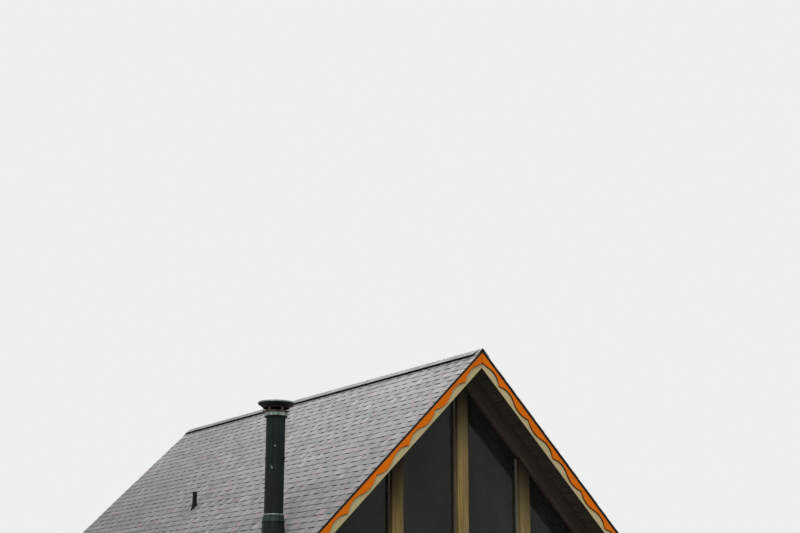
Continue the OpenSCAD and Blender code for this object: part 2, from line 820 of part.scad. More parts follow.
concrete_base();
floor_planks();
sill_plates_side();
sill_plate_front();
sill_plate_back();
rafters_left();
rafters_right();
ridge_beam();
gable_rafters_front();
gable_rafters_back();
posts_front();
posts_back();
rails_front();
rails_back();
wall_panels_front();
wall_panels_back();
glass_front();
glass_back();
glazing_stops_front();
glazing_stops_back();
door_frame();
door_leaf();
door_glass();
door_hinges();
door_handles();
roof_planks_left();
roof_planks_right();
shingles_left();
shingles_right();
rake_boards_front();
rake_boards_back();
scalloped_trim_front();
scalloped_trim_back();
drip_edges();
eave_fascias();
ridge_vent();
ridge_caps();
chimney_pipe();
chimney_cap();
storm_collar();
chimney_flashing();
chimney_support();
vent_pipe();
vent_boot();
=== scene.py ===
# %% [markdown]
# # An a-frame cabin
#
# This lesson dresses the solid model of a small timber cabin. Two shingled roof slopes run from the
# ridge almost to the floor, both gables are glazed between square posts, and a two-layer trim with a
# scalloped edge follows the rakes. The solid model is loaded first and stays fixed. Everything that is
# made here is laid on it, in metres, in the same frame: the ridge runs along Y and the door faces -Y.

# %% Load the frame
import math
import random

import bmesh
import bpy
from mathutils import Matrix, Vector


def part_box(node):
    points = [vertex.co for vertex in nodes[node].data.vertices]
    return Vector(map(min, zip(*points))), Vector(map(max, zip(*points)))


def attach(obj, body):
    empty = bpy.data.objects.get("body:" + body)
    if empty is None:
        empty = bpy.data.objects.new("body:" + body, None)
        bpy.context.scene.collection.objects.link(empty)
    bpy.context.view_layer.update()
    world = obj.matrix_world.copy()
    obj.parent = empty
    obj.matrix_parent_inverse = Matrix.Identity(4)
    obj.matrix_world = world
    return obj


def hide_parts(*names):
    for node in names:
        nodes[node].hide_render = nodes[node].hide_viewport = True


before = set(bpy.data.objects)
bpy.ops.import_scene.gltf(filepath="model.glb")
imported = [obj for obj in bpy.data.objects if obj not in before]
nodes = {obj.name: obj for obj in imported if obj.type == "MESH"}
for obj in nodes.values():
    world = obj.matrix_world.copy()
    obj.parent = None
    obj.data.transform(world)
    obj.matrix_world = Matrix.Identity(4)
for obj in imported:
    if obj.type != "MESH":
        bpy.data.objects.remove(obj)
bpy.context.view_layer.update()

# %% [markdown]
# ## The camera
#
# The picture was taken from low down and to the left, with the camera tipped up, so the cabin sits at
# the foot of the frame. A camera can be aimed with a constraint, but an aim point only gives two of the
# three turns. Here the heading, the tilt and the small roll are written as angles and multiplied in
# that order, which is easy to read and to correct.

# %% Camera
CAMERA_PLACE = Vector((-11.87, -20.385, 1.02))
HEADING = math.radians(33.91)  # from +Y towards +X
TILT_UP = math.radians(15.17)
ROLL = math.radians(0.10)
FOCAL_LENGTH = 61.6  # millimetres
FRAME_WIDTH = 36  # millimetres, the width of the picture behind the lens
FARTHEST = 500  # metres, where the camera's view ends

lens = bpy.data.cameras.new("camera")
lens.lens = FOCAL_LENGTH
lens.sensor_width = FRAME_WIDTH
lens.clip_end = FARTHEST
camera = bpy.data.objects.new("camera", lens)
camera.matrix_world = (
    Matrix.Translation(CAMERA_PLACE)
    @ Matrix.Rotation(-HEADING, 4, "Z")
    @ Matrix.Rotation(math.radians(90) + TILT_UP, 4, "X")
    @ Matrix.Rotation(ROLL, 4, "Z")
)
bpy.context.scene.collection.objects.link(camera)
bpy.context.scene.camera = camera
print("camera at", tuple(camera.location), "with a", FOCAL_LENGTH, "mm lens")

# %% [markdown]
# ## The world
#
# A cabin in the open gets most of its light from above. A world of one even colour would light the
# soffits as much as the slopes, so this one runs from dim at the sides to bright overhead, and the
# eaves shade the wall under them. The eye, mirrors and glass are shown a plain pale backdrop instead:
# the Light Path node tells the rays apart. A panorama would be quicker to set up, but it would colour
# the paint.

# %% World
bpy.context.scene.view_settings.view_transform = "Standard"
SIDE_LIGHT = 0.26
TOP_LIGHT = 1.10
PALE = 0.86  # the backdrop


def seen_directly(tree):
    """1 for rays from the camera, a mirror or glass, and 0 for the light that falls on surfaces."""
    path = tree.nodes.new("ShaderNodeLightPath")
    answer = path.outputs["Is Camera Ray"]
    for ray in ("Is Glossy Ray", "Is Transmission Ray"):
        either = tree.nodes.new("ShaderNodeMath")
        either.operation = "MAXIMUM"
        tree.links.new(answer, either.inputs[0])
        tree.links.new(path.outputs[ray], either.inputs[1])
        answer = either.outputs[0]
    return answer


world = bpy.data.worlds.new("studio")
bpy.context.scene.world = world
world.use_nodes = True
world_tree = world.node_tree
lighting = world_tree.nodes["Background"]
direction = world_tree.nodes.new("ShaderNodeTexCoord")
height = world_tree.nodes.new("ShaderNodeSeparateXYZ")
world_tree.links.new(direction.outputs["Generated"], height.inputs[0])
level = world_tree.nodes.new("ShaderNodeMapRange")
level.inputs["To Min"].default_value = SIDE_LIGHT
level.inputs["To Max"].default_value = TOP_LIGHT
world_tree.links.new(height.outputs["Z"], level.inputs["Value"])
world_tree.links.new(level.outputs[0], lighting.inputs["Color"])
backdrop = world_tree.nodes.new("ShaderNodeBackground")
backdrop.inputs["Color"].default_value = (PALE, PALE, PALE, 1)
choose = world_tree.nodes.new("ShaderNodeMixShader")
world_tree.links.new(seen_directly(world_tree), choose.inputs["Fac"])
world_tree.links.new(lighting.outputs[0], choose.inputs[1])
world_tree.links.new(backdrop.outputs[0], choose.inputs[2])
world_tree.links.new(choose.outputs[0], world_tree.nodes["World Output"].inputs["Surface"])
print("world from", SIDE_LIGHT, "at the sides to", TOP_LIGHT, "overhead")

# %% [markdown]
# ## The lamp
#
# One wide lamp, high on the left, gives every board a soft shadow. It is a sun, because an area lamp's
# distance would have to be fitted to the cabin's size. Several small lamps would leave a shadow each.

# %% Lamp
LAMP_STRENGTH = 1.35
LAMP_WIDTH = math.radians(35)  # the wider the lamp, the softer the shadow
LAMP_DIRECTION = Vector((0.42, 0.50, -0.80))

lamp = bpy.data.objects.new("lamp", bpy.data.lights.new("lamp", "SUN"))
lamp.data.energy = LAMP_STRENGTH
lamp.data.angle = LAMP_WIDTH
lamp.rotation_euler = LAMP_DIRECTION.to_track_quat("-Z", "Y").to_euler()
bpy.context.scene.collection.objects.link(lamp)
print("lamp of strength", LAMP_STRENGTH, "shines along", tuple(LAMP_DIRECTION))

# %% [markdown]
# ## The floor
#
# The floor is one large quad that only catches the shadow. To the eye it is a little darker than the
# backdrop, because the lamp brightens it, and so the two meet without a line. For the light that it
# throws back it is greyer still, or it would light the eaves from below. A shadow catcher would also
# hide the line, but it needs a second layer to be laid over a backdrop.

# %% Floor
FLOOR_PALE = 0.74
FLOOR_BOUNCE = 0.55
FLOOR_REACH = 150
FLOOR_ROUGHNESS = 0.9
floor_mesh = bpy.data.meshes.new("floor")
floor_mesh.from_pydata(
    [(x * FLOOR_REACH, y * FLOOR_REACH, 0) for x, y in ((-1, -1), (1, -1), (1, 1), (-1, 1))],
    [], [(0, 1, 2, 3)])
floor = bpy.data.objects.new("floor", floor_mesh)
bpy.context.scene.collection.objects.link(floor)

floor_paint = bpy.data.materials.new("floor")
floor_paint.use_nodes = True
floor_tree = floor_paint.node_tree
pick = floor_tree.nodes.new("ShaderNodeMix")
pick.data_type = "RGBA"
pick.inputs["A"].default_value = (FLOOR_BOUNCE, FLOOR_BOUNCE, FLOOR_BOUNCE, 1)
pick.inputs["B"].default_value = (FLOOR_PALE, FLOOR_PALE, FLOOR_PALE, 1)
floor_tree.links.new(seen_directly(floor_tree), pick.inputs["Factor"])
floor_shader = floor_tree.nodes["Principled BSDF"]
floor_tree.links.new(pick.outputs["Result"], floor_shader.inputs["Base Color"])
floor_shader.inputs["Roughness"].default_value = FLOOR_ROUGHNESS
floor_mesh.materials.append(floor_paint)
print("floor of", FLOOR_PALE, "seen, and", FLOOR_BOUNCE, "for the light it throws back")

# %% [markdown]
# ## Measures on the slope
#
# Almost every piece of an a-frame lies on a slope, so it pays to think along the roof. A place is given
# by its distance `u` down the slope from the ridge, its height `v` square to the slope over the
# underside of the planks, and its `y` along the ridge. `on_slope` turns that into a point. Plain X and Z
# would do too, but with a sine in every line. The lengths are read from the solid nodes where a box
# shows them, and the thin layers are written once.

# %% Slope measures
PITCH = math.radians(45)
PLANK = 0.038  # thickness of the roof planks
BUTT = 0.050  # height v of the highest surface of a shingle course
EXPOSURE = 0.127  # how much of a course shows
LEFT, RIGHT = -1, 1

ridge_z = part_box("ridge_beam")[1].z
shingle_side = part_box("shingles_right")[1].x


def on_slope(side, u, v, y):
    """The point at distance u down the slope, at height v over the planks' underside."""
    across = u * math.cos(PITCH) + v * math.sin(PITCH)
    return Vector((side * across, y, ridge_z - u * math.sin(PITCH) + v * math.cos(PITCH)))


def mitre(v, gap=0.0):
    """Where the upright plane through the ridge, or gap beside it, meets height v."""
    return gap / math.cos(PITCH) - v * math.tan(PITCH)


def crossing(x, v):
    """Distance down the slope at which an upright line at x passes height v."""
    return x / math.cos(PITCH) - v * math.tan(PITCH)


shingle_end = (shingle_side - BUTT * math.sin(PITCH)) / math.cos(PITCH)
planks_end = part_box("roof_planks_right")[1].x / math.cos(PITCH) - PLANK * math.tan(PITCH)
print("slope of planks", round(planks_end, 4), "shingles end at", round(shingle_end, 4))

# %% [markdown]
# ## Making meshes
#
# A cabin is made of hundreds of sticks, and one Blender object for each would be slow and hard to
# follow. The pieces of one kind are piled into a single mesh instead. Each solid in the pile is a
# prism between two outlines, and carries a random `tint` so that a material can tell the boards apart.
# Objects made with operators or array modifiers would work too, but they can't tint each copy.

# %% A pile of prisms
random.seed(20)


class Pile:
    """Many small solids that become one mesh. A finish is an index into the piece's materials."""

    def __init__(self):
        self.points, self.faces, self.finishes, self.tints = [], [], [], []

    def face(self, corners, finish, tint):
        self.faces.append(corners)
        self.finishes.append(finish)
        self.tints.append(tint)

    def prism(self, near, far, finish=0, tint=None, sides=None, ends=None):
        """A closed solid between two outlines. sides names a finish for each side face."""
        tint = random.random() if tint is None else tint
        count, first = len(near), len(self.points)
        self.points += [*near, *far]
        for i in range(count):
            j = (i + 1) % count
            quad = (first + i, first + j, first + count + j, first + count + i)
            self.face(quad, sides[i] if sides else finish, tint)
        end_finish = finish if ends is None else ends
        self.face(tuple(range(first, first + count)), end_finish, tint)
        self.face(tuple(range(first + count, first + 2 * count)), end_finish, tint)

    def box(self, low, high, finish=0):
        """A plain block between two corners."""
        (x0, y0, z0), (x1, y1, z1) = low, high
        corners = ((x0, y0), (x1, y0), (x1, y1), (x0, y1))
        self.prism([Vector((x, y, z0)) for x, y in corners],
                   [Vector((x, y, z1)) for x, y in corners], finish)


print("a pile can be filled")

# %% [markdown]
# ## Turned and skinned solids
#
# A chimney is round, so its pieces come off a lathe: an outline of radius and height goes round an
# axis. A bent bar or a ring of mouldings is a skin over a row of outlines. Blender has a Screw modifier
# and curve bevels for both, but as plain faces they can be piled with the rest and share its finishes.

# %% Turned and skinned solids
ROUND_STEPS = 96
PLAIN_TINT = 0.5


def turned(pile, axis, profile, finishes=0, steps=ROUND_STEPS, arc=math.tau, start=0.0):
    """A solid of revolution. axis is a matrix whose Z is the axis, profile has (radius, height)."""
    first, rings = len(pile.points), len(profile)
    full = arc == math.tau
    stations = steps if full else steps + 1
    for i in range(stations):
        turn = start + arc * i / steps
        for radius, height in profile:
            pile.points.append(
                axis @ Vector((radius * math.cos(turn), radius * math.sin(turn), height)))
    for i in range(steps):
        a, b = first + i * rings, first + (i + 1) % stations * rings
        for j in range(rings):
            k = (j + 1) % rings
            finish = finishes[j] if isinstance(finishes, list) else finishes
            pile.face((a + j, a + k, b + k, b + j), finish, PLAIN_TINT)
    if not full:
        for a in (first, first + steps * rings):
            pile.face(tuple(range(a, a + rings)), finishes, PLAIN_TINT)


def skin(pile, outlines, closed=False):
    """A solid through a row of outlines. If closed, the last one joins the first."""
    first, count = len(pile.points), len(outlines[0])
    for outline in outlines:
        pile.points += outline
    for i in range(len(outlines) if closed else len(outlines) - 1):
        a, b = first + i * count, first + (i + 1) % len(outlines) * count
        for j in range(count):
            k = (j + 1) % count
            pile.face((a + j, a + k, b + k, b + j), 0, PLAIN_TINT)
    if not closed:
        last = first + (len(outlines) - 1) * count
        pile.face(tuple(range(first, first + count)), 0, PLAIN_TINT)
        pile.face(tuple(range(last, last + count)), 0, PLAIN_TINT)


print("rounds have", ROUND_STEPS, "steps unless they are small")

# %% [markdown]
# ## From a pile to a piece
#
# Points that coincide are joined, so that every solid is closed, and the normals are turned outwards.
# Faces are shaded smooth, except over edges that are sharper than a given angle. All this can be done
# by hand in Edit Mode, but not for so many piles. Then the piece is fixed to the cabin's one body, and
# hides the solid nodes that it stands for.

# %% From a pile to a piece
SAME_PLACE = 1e-7  # points closer than this are one point
STAYS_SHARP = math.radians(30)  # faces that turn by more than this meet in a sharp edge


def make(pile, name, materials):
    """Builds the mesh object from a pile."""
    mesh = bpy.data.meshes.new(name)
    mesh.from_pydata(pile.points, [], pile.faces)
    tint = mesh.attributes.new("tint", "FLOAT", "FACE")
    tint.data.foreach_set("value", pile.tints)
    mesh.polygons.foreach_set("material_index", pile.finishes)
    for material in materials:
        mesh.materials.append(material)
    work = bmesh.new()
    work.from_mesh(mesh)
    bmesh.ops.remove_doubles(work, verts=work.verts, dist=SAME_PLACE)
    bmesh.ops.dissolve_degenerate(work, edges=work.edges, dist=SAME_PLACE)
    bmesh.ops.recalc_face_normals(work, faces=work.faces)
    work.to_mesh(mesh)
    work.free()
    mesh.polygons.foreach_set("use_smooth", [True] * len(mesh.polygons))
    mesh.set_sharp_from_angle(angle=STAYS_SHARP)
    piece = bpy.data.objects.new(name, mesh)
    bpy.context.scene.collection.objects.link(piece)
    print(name, "has", len(mesh.polygons), "faces")
    return piece


def seat(piece, slot, *stood_for):
    """Fixes a finished piece to the cabin and hides the nodes it stands for. slot is not used."""
    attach(piece, "root")
    if stood_for:
        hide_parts(*stood_for)
    return piece


print("points within", SAME_PLACE, "m are joined")

# %% [markdown]
# ## Making finishes
#
# Every finish is a small tree of nodes: a place in the wood or sheet, some noise at the scale of its
# grain, a ramp of colours, and a bump. The trees share their first steps, so these are short helpers.
# Colours are written as they look in the picture, from 0 to 255, and `paint` turns them into the
# linear values that Blender mixes with. Textures from files would be quicker to pick but harder to fit
# to a board, because they repeat.

# %% Colours and nodes


def paint(red, green, blue):
    """A colour as seen on a screen, as linear values."""
    def linear(value):
        value /= 255
        return value / 12.92 if value <= 0.04045 else ((value + 0.055) / 1.055) ** 2.4
    return (linear(red), linear(green), linear(blue), 1.0)


def add(tree, kind, inputs=None, **settings):
    """A node with its inputs set: a socket is linked, anything else becomes its fixed value."""
    made = tree.nodes.new("ShaderNode" + kind)
    for key, value in settings.items():
        setattr(made, key, value)
    for key, value in (inputs or {}).items():
        if isinstance(value, bpy.types.NodeSocket):
            tree.links.new(value, made.inputs[key])
        else:
            made.inputs[key].default_value = value
    return made


def sum_of(tree, a, b):
    return add(tree, "Math", {0: a, 1: b}, operation="ADD").outputs[0]


def times(tree, a, b):
    return add(tree, "Math", {0: a, 1: b}, operation="MULTIPLY").outputs[0]


def ramp(tree, factor, stops):
    """Colours, or greys, at places from 0 to 1."""
    made = add(tree, "ValToRGB", {"Fac": factor})
    elements = made.color_ramp.elements
    while len(elements) < len(stops):
        elements.new(0.5)
    for element, (place, colour) in zip(elements, stops):
        element.position = place
        element.color = colour if isinstance(colour, tuple) else (colour, colour, colour, 1)
    return made.outputs["Color"]


def grey(tree, colour):
    """How light a colour is, from 0 to 1."""
    return add(tree, "RGBToBW", {0: colour}).outputs[0]


def blend(tree, factor, a, b, way="MIX"):
    made = add(tree, "Mix", data_type="RGBA", blend_type=way)
    for socket, value in ((made.inputs["Factor"], factor), (made.inputs["A"], a), (made.inputs["B"], b)):
        if isinstance(value, bpy.types.NodeSocket):
            tree.links.new(value, socket)
        else:
            socket.default_value = value
    return made.outputs["Result"]


print("a mid grey is", round(paint(128, 128, 128)[0], 3), "as a linear value")

# %% [markdown]
# ## Places on the cabin
#
# A texture needs a place. The points of all pieces are in one frame, in metres, so the place can be
# the point itself, and noise then has a true size: a scale of 30 gives patches of about 3 cm. An axis is
# stretched to draw the patches out into streaks. Unwrapped coordinates would have to be made for
# thousands of boards, and would end at every seam.

# %% Places on the cabin


def stretched(tree, place, scale):
    """The same place with its axes scaled."""
    return add(tree, "VectorMath", {0: place, 1: scale}, operation="MULTIPLY").outputs[0]


def noise(tree, place, scale=1.0, detail=4.0, roughness=0.55, distortion=0.0):
    return add(tree, "TexNoise", {"Vector": place, "Scale": scale, "Detail": detail,
                                  "Roughness": roughness, "Distortion": distortion}).outputs["Fac"]


def point_of(tree):
    """The shaded point, in metres."""
    return add(tree, "NewGeometry").outputs["Position"]


def point_axes(tree):
    """The X, Y and Z of the shaded point."""
    return add(tree, "SeparateXYZ", {0: point_of(tree)}).outputs


def tint_of(tree):
    """The tint of the board or shingle that is shaded, from 0 to 1."""
    return add(tree, "Attribute", attribute_name="tint").outputs["Fac"]


def between(tree, value, low, high):
    """Runs smoothly from 0 where value is low to 1 where it is high."""
    return add(tree, "MapRange", {"Value": value, "From Min": low, "From Max": high},
               interpolation_type="SMOOTHSTEP").outputs["Result"]


def slope_place(tree):
    """Distance down the slope from the ridge, and height over the planks' underside, as in on_slope."""
    x, _, z = point_axes(tree)
    across = add(tree, "Math", {0: x}, operation="ABSOLUTE").outputs[0]
    above = sum_of(tree, z, -ridge_z)
    down = sum_of(tree, times(tree, across, math.cos(PITCH)), times(tree, above, -math.sin(PITCH)))
    over = sum_of(tree, times(tree, across, math.sin(PITCH)), times(tree, above, math.cos(PITCH)))
    return down, over


print("places are measured from the ridge at", round(ridge_z, 3), "m")

# %% [markdown]
# ## A new finish
#
# Blender's Principled shader turns into wood, paint, metal or glass by a few numbers. What is the same
# all over a surface is set on the shader itself, and only the colour, and sometimes the roughness,
# comes from nodes. Fine relief is a bump, which bends the light and moves no point. Displacement would
# move the points, but it needs millions of faces for a grain of less than a millimetre.

# %% A new finish
MATT = 0.7


def new_finish(name, roughness=MATT, metallic=0.0, specular=0.5):
    """A material with its shader's fixed values set. Returns it with its tree and its shader."""
    material = bpy.data.materials.new(name)
    material.use_nodes = True
    shader = material.node_tree.nodes["Principled BSDF"]
    shader.inputs["Roughness"].default_value = roughness
    shader.inputs["Metallic"].default_value = metallic
    shader.inputs["Specular IOR Level"].default_value = specular
    return material, material.node_tree, shader


def roughen(tree, shader, height, distance, strength=1.0):
    """A bump: height runs from 0 to 1, distance is its depth in metres."""
    made = add(tree, "Bump", {"Height": height, "Distance": distance, "Strength": strength})
    tree.links.new(made.outputs["Normal"], shader.inputs["Normal"])


print("a new finish has a roughness of", MATT, "if it is told no other")

# %% [markdown]
# ## Along the grain
#
# Wood looks like wood when its figure runs along the piece. `grain_place` gives a place whose first
# axis runs along the fibres: upright for posts, level for floor boards, or down the slope for rafters.
# The slope case folds both roof halves together with an absolute value, so one material serves both.
# The tint moves each board to another stretch of the figure, which a copied texture can't do.

# %% Along the grain
TINT_SHIFT = 53.0  # metres, so that no two boards show the same stretch of figure
SIDE_SHIFT = 7.0


def grain_place(tree, way):
    """A place in metres whose X runs along the grain. way is x, y, z or slope."""
    x, y, z = point_axes(tree)
    if way == "slope":
        down, over = slope_place(tree)
        apart = add(tree, "Math", {0: x}, operation="SIGN").outputs[0]
        order = (sum_of(tree, down, times(tree, apart, SIDE_SHIFT)), y, over)
    else:
        order = {"x": (x, y, z), "y": (y, x, z), "z": (z, x, y)}[way]
    tint = tint_of(tree)
    along = sum_of(tree, order[0], times(tree, tint, TINT_SHIFT))
    return add(tree, "CombineXYZ", {0: along, 1: order[1], 2: order[2]}).outputs[0], tint


print("the figure shifts by up to", TINT_SHIFT, "m from board to board")

# %% [markdown]
# ## Wood
#
# Sawn wood shows streaks, growth rings, knots, and dark checks where it has dried. A photo of a board
# would hold all four, but every board would get the same knots. Here noise that is squeezed across the
# fibres gives the streaks, a banded wave the rings, a few Voronoi cells the knots, and a finer noise
# the checks.

# %% Wood
FIBRE = 0.0006  # metres, the depth of the grain's relief


def wood(name, way, tones, roughness=0.75, streak=22.0, rings=0.35, knots=0.5, worn=None,
         spread=0.25, painted_shade=None):
    """A sawn or weathered board. tones are its dark, middle and light colours. The last argument paints
    shade close under the roof: the two heights v between which the wood turns darker, and that tone."""
    material, tree, shader = new_finish(name, roughness, specular=0.06)
    place, tint = grain_place(tree, way)
    streaks = noise(tree, stretched(tree, place, (0.9, streak, streak)), detail=6.0, roughness=0.6,
                    distortion=0.3)
    band = add(tree, "TexWave", {"Vector": stretched(tree, place, (0.35, 9.0, 9.0)), "Scale": 1.6,
                                 "Distortion": 6.0, "Detail": 3.0, "Detail Scale": 1.2},
               wave_type="BANDS", bands_direction="DIAGONAL").outputs["Fac"]
    figure = blend(tree, rings, streaks, band)
    shade = sum_of(tree, grey(tree, figure), times(tree, sum_of(tree, tint, -0.5), spread))
    dark, middle, light = tones
    colour = ramp(tree, shade, [(0.22, dark), (0.48, middle), (0.78, light)])
    if knots:
        cells = add(tree, "TexVoronoi", {"Vector": stretched(tree, place, (1.6, 6.5, 6.5)),
                                         "Scale": 1.0})
        ring = ramp(tree, cells.outputs["Distance"], [(0.05, 1.0), (0.16, 0.0)])
        colour = blend(tree, times(tree, grey(tree, ring), knots), colour, dark)
    if worn:
        patches = noise(tree, stretched(tree, place, (0.6, 2.5, 2.5)), detail=5.0, roughness=0.65)
        cover = ramp(tree, patches, [(0.42, 0.0), (0.68, 1.0)])
        colour = blend(tree, cover, colour, worn)
    # Painted shade: the wood turns darker close under the roof
    if painted_shade:
        low, high, dark_tone = painted_shade
        colour = blend(tree, between(tree, slope_place(tree)[1], low, high), colour, dark_tone)
    checks = noise(tree, stretched(tree, place, (0.7, 75.0, 75.0)), detail=2.0, roughness=0.5,
                   distortion=0.6)
    colour = blend(tree, 0.7, colour, ramp(tree, checks, [(0.30, 0.25), (0.36, 1.0)]), "MULTIPLY")
    fibres = noise(tree, stretched(tree, place, (7.0, 260.0, 260.0)), detail=3.0, roughness=0.5)
    colour = blend(tree, 0.25, colour, ramp(tree, fibres, [(0.3, 0.35), (0.75, 1.0)]), "MULTIPLY")
    tree.links.new(colour, shader.inputs["Base Color"])
    roughen(tree, shader, sum_of(tree, times(tree, fibres, 0.5), streaks), distance=FIBRE)
    return material


print("wood can be made in any tones")

# %% [markdown]
# ## The cabin's woods
#
# The posts and rails are bare and weathered to a dull yellow. The gable rafters and the planks are
# stained nearly black, and the frame inside keeps the warm tone of new timber. All are one recipe with
# other tones, which keeps them alike as boards from one mill are. Close under the roof the posts are
# darkened by a painted shade of the overhang.

# %% The cabin's woods
post_wood = wood("post_wood", "z", (paint(106, 88, 50), paint(148, 127, 78), paint(172, 152, 100)),
                 worn=paint(132, 118, 84), streak=30.0, rings=0.15, knots=0.8,
                 painted_shade=(-1.10, -0.25, paint(44, 37, 30)))
rail_wood = wood("rail_wood", "x", (paint(86, 68, 42), paint(124, 102, 66), paint(150, 128, 88)),
                 knots=0.4)
gable_wood = wood("gable_wood", "slope", (paint(64, 55, 48), paint(76, 66, 58), paint(90, 78, 68)))
rafter_tones = (paint(84, 62, 42), paint(120, 92, 62), paint(148, 118, 82))
rafter_wood = wood("rafter_wood", "slope", rafter_tones)
beam_wood = wood("beam_wood", "y", rafter_tones)
plank_wood = wood("plank_wood", "y", (paint(62, 56, 49), paint(70, 63, 55), paint(78, 70, 61)),
                  spread=0.08)
floor_wood = wood("floor_wood", "y", (paint(112, 84, 54), paint(146, 114, 76), paint(174, 142, 98)),
                  roughness=0.5)
panel_wood = wood("panel_wood", "z", (paint(46, 34, 26), paint(66, 49, 36), paint(86, 66, 48)))
sill_tones = (paint(92, 80, 60), paint(122, 108, 80), paint(146, 132, 102))
sill_wood = wood("sill_wood", "y", sill_tones)
sill_wood_across = wood("sill_wood_across", "x", sill_tones)
# The stops are grey on the uprights, and a painted shade darkens them where they follow the rafters
stop_wood = wood("stop_wood", "z", (paint(78, 70, 58), paint(100, 93, 82), paint(120, 116, 106)),
                 rings=0.15, knots=0.0, worn=paint(118, 119, 114),
                 painted_shade=(-0.262, -0.256, paint(36, 31, 26)))
door_tones = (paint(78, 58, 38), paint(108, 82, 54), paint(134, 104, 72))
door_wood = wood("door_wood", "z", door_tones, roughness=0.55)
door_rail_wood = wood("door_rail_wood", "x", door_tones, roughness=0.55)
print(len(bpy.data.materials), "materials with the woods")

# %% [markdown]
# ## Shingle stone
#
# Asphalt shingles are a mat under crushed stone. Each tab came out of the factory a little lighter,
# warmer or greener than the next, which the tint drives, and the stone itself is fine noise. Rosy
# streaks are a second kind of stone in the mix. A ramp along the slope darkens the lower courses. The
# back of the roof is darker too, a painted shade. A few pale specks are
# the hearts of wide Voronoi cells. A picture of a real roof would show all this at once, but it would
# repeat every few metres.

# %% Shingle stone
BACK_SHADE_FROM, BACK_SHADE_TO = -2.5, 3.5  # along the ridge, from the unshaded end to the shaded one
BACK_SHADE = 0.22  # how dark the painted shade is at the back end


def shingle_stone(name, band=0.0, shade=1.0):
    """Crushed stone. band is the depth in metres of the dark band under the next course, and shade
    darkens the whole layer."""
    material, tree, shader = new_finish(name, roughness=0.9, specular=0.03)
    point = point_of(tree)
    tint = tint_of(tree)
    tab = ramp(tree, tint, [(0.0, paint(166, 165, 164)), (0.22, paint(191, 190, 189)),
                            (0.42, paint(178, 181, 180)), (0.60, paint(197, 194, 194)),
                            (0.78, paint(174, 173, 175)), (1.0, paint(204, 203, 201))])
    patches = noise(tree, point, scale=0.9, detail=5.0, roughness=0.6)
    colour = blend(tree, 0.5, tab, ramp(tree, patches, [(0.3, 0.80), (0.7, 1.0)]), "MULTIPLY")
    # Darker down the slope, towards the eave
    down = slope_place(tree)[0]
    dirt = ramp(tree, times(tree, down, 1 / shingle_end), [(0.0, shade), (0.5, 0.64 * shade)])
    colour = blend(tree, 1.0, colour, dirt, "MULTIPLY")
    # Painted shade that deepens towards the back of the roof
    back_shade = times(tree, between(tree, point_axes(tree)[1], BACK_SHADE_FROM, BACK_SHADE_TO), BACK_SHADE)
    colour = blend(tree, back_shade, colour, paint(48, 50, 46))
    grain = noise(tree, point, scale=340.0, detail=2.0, roughness=0.6)
    speckle = ramp(tree, grain, [(0.32, 0.55), (0.5, 0.95), (0.68, 1.0)])
    colour = blend(tree, 0.55, colour, speckle, "MULTIPLY")
    rosy = noise(tree, stretched(tree, point, (22.0, 5.0, 22.0)), detail=2.0, roughness=0.5)
    colour = blend(tree, times(tree, between(tree, rosy, 0.60, 0.70), 0.4), colour, paint(196, 140, 142))
    specks = add(tree, "TexVoronoi", {"Vector": point, "Scale": 2.2}).outputs["Distance"]
    colour = blend(tree, between(tree, specks, 0.022, 0.012), colour, paint(226, 226, 220))
    # A dark band just under the next course: dark stone on the lower layer, and on the teeth a painted
    # shade
    if band:
        up = sum_of(tree, times(tree, down, -1 / EXPOSURE), shingle_end / EXPOSURE)
        share = add(tree, "Math", {0: up}, operation="FRACT").outputs[0]
        wander = sum_of(tree, noise(tree, point, scale=30.0, detail=3.0), -0.5)
        uneven = sum_of(tree, share, times(tree, wander, 0.06))
        dark = between(tree, uneven, 1.0 - 1.25 * band / EXPOSURE, 1.0 - 0.75 * band / EXPOSURE)
        colour = blend(tree, times(tree, dark, 0.80), colour, paint(54, 54, 54))
    tree.links.new(colour, shader.inputs["Base Color"])
    roughen(tree, shader, grain, distance=0.0009, strength=0.8)
    return material


print("shingle stone can be made")

# %% [markdown]
# ## Asphalt, plastic and rubber
#
# The cut edges of the shingles, the ridge vent, the vent pipe and its rubber lip are plain and dark.
# One flat colour would do from far away, but close by it looks like a hole, so each has some mottling
# and a low bump. The shingle layers get their finishes here too, because they are made of the same
# two stuffs, stone and asphalt.

# %% Asphalt and other dark stuff


def flat_dark(name, colour, roughness=0.85, scale=60.0):
    """A dark, plain stuff such as asphalt or rubber, with a little mottling."""
    material, tree, shader = new_finish(name, roughness, specular=0.1)
    point = point_of(tree)
    mottle = noise(tree, point, scale)
    tree.links.new(blend(tree, 0.6, colour, ramp(tree, mottle, [(0.3, 0.55), (0.7, 1.0)]), "MULTIPLY"),
                   shader.inputs["Base Color"])
    roughen(tree, shader, mottle, distance=0.0006)
    return material


# On the teeth the dark band is a painted shade under the next course's butt
stone = shingle_stone("shingle_stone", band=0.007)
stone_below = shingle_stone("shingle_stone_below", band=0.013, shade=0.94)
cap_stone = shingle_stone("cap_stone")
asphalt_edge = flat_dark("asphalt_edge", paint(34, 33, 33))
vent_plastic = flat_dark("vent_plastic", paint(34, 35, 35), roughness=0.65)
pipe_plastic = flat_dark("pipe_plastic", paint(24, 27, 28), roughness=0.6, scale=18.0)
rubber = flat_dark("rubber", paint(27, 27, 27), roughness=0.75)
print(len(bpy.data.materials), "materials with the stone, asphalt, plastic and rubber")
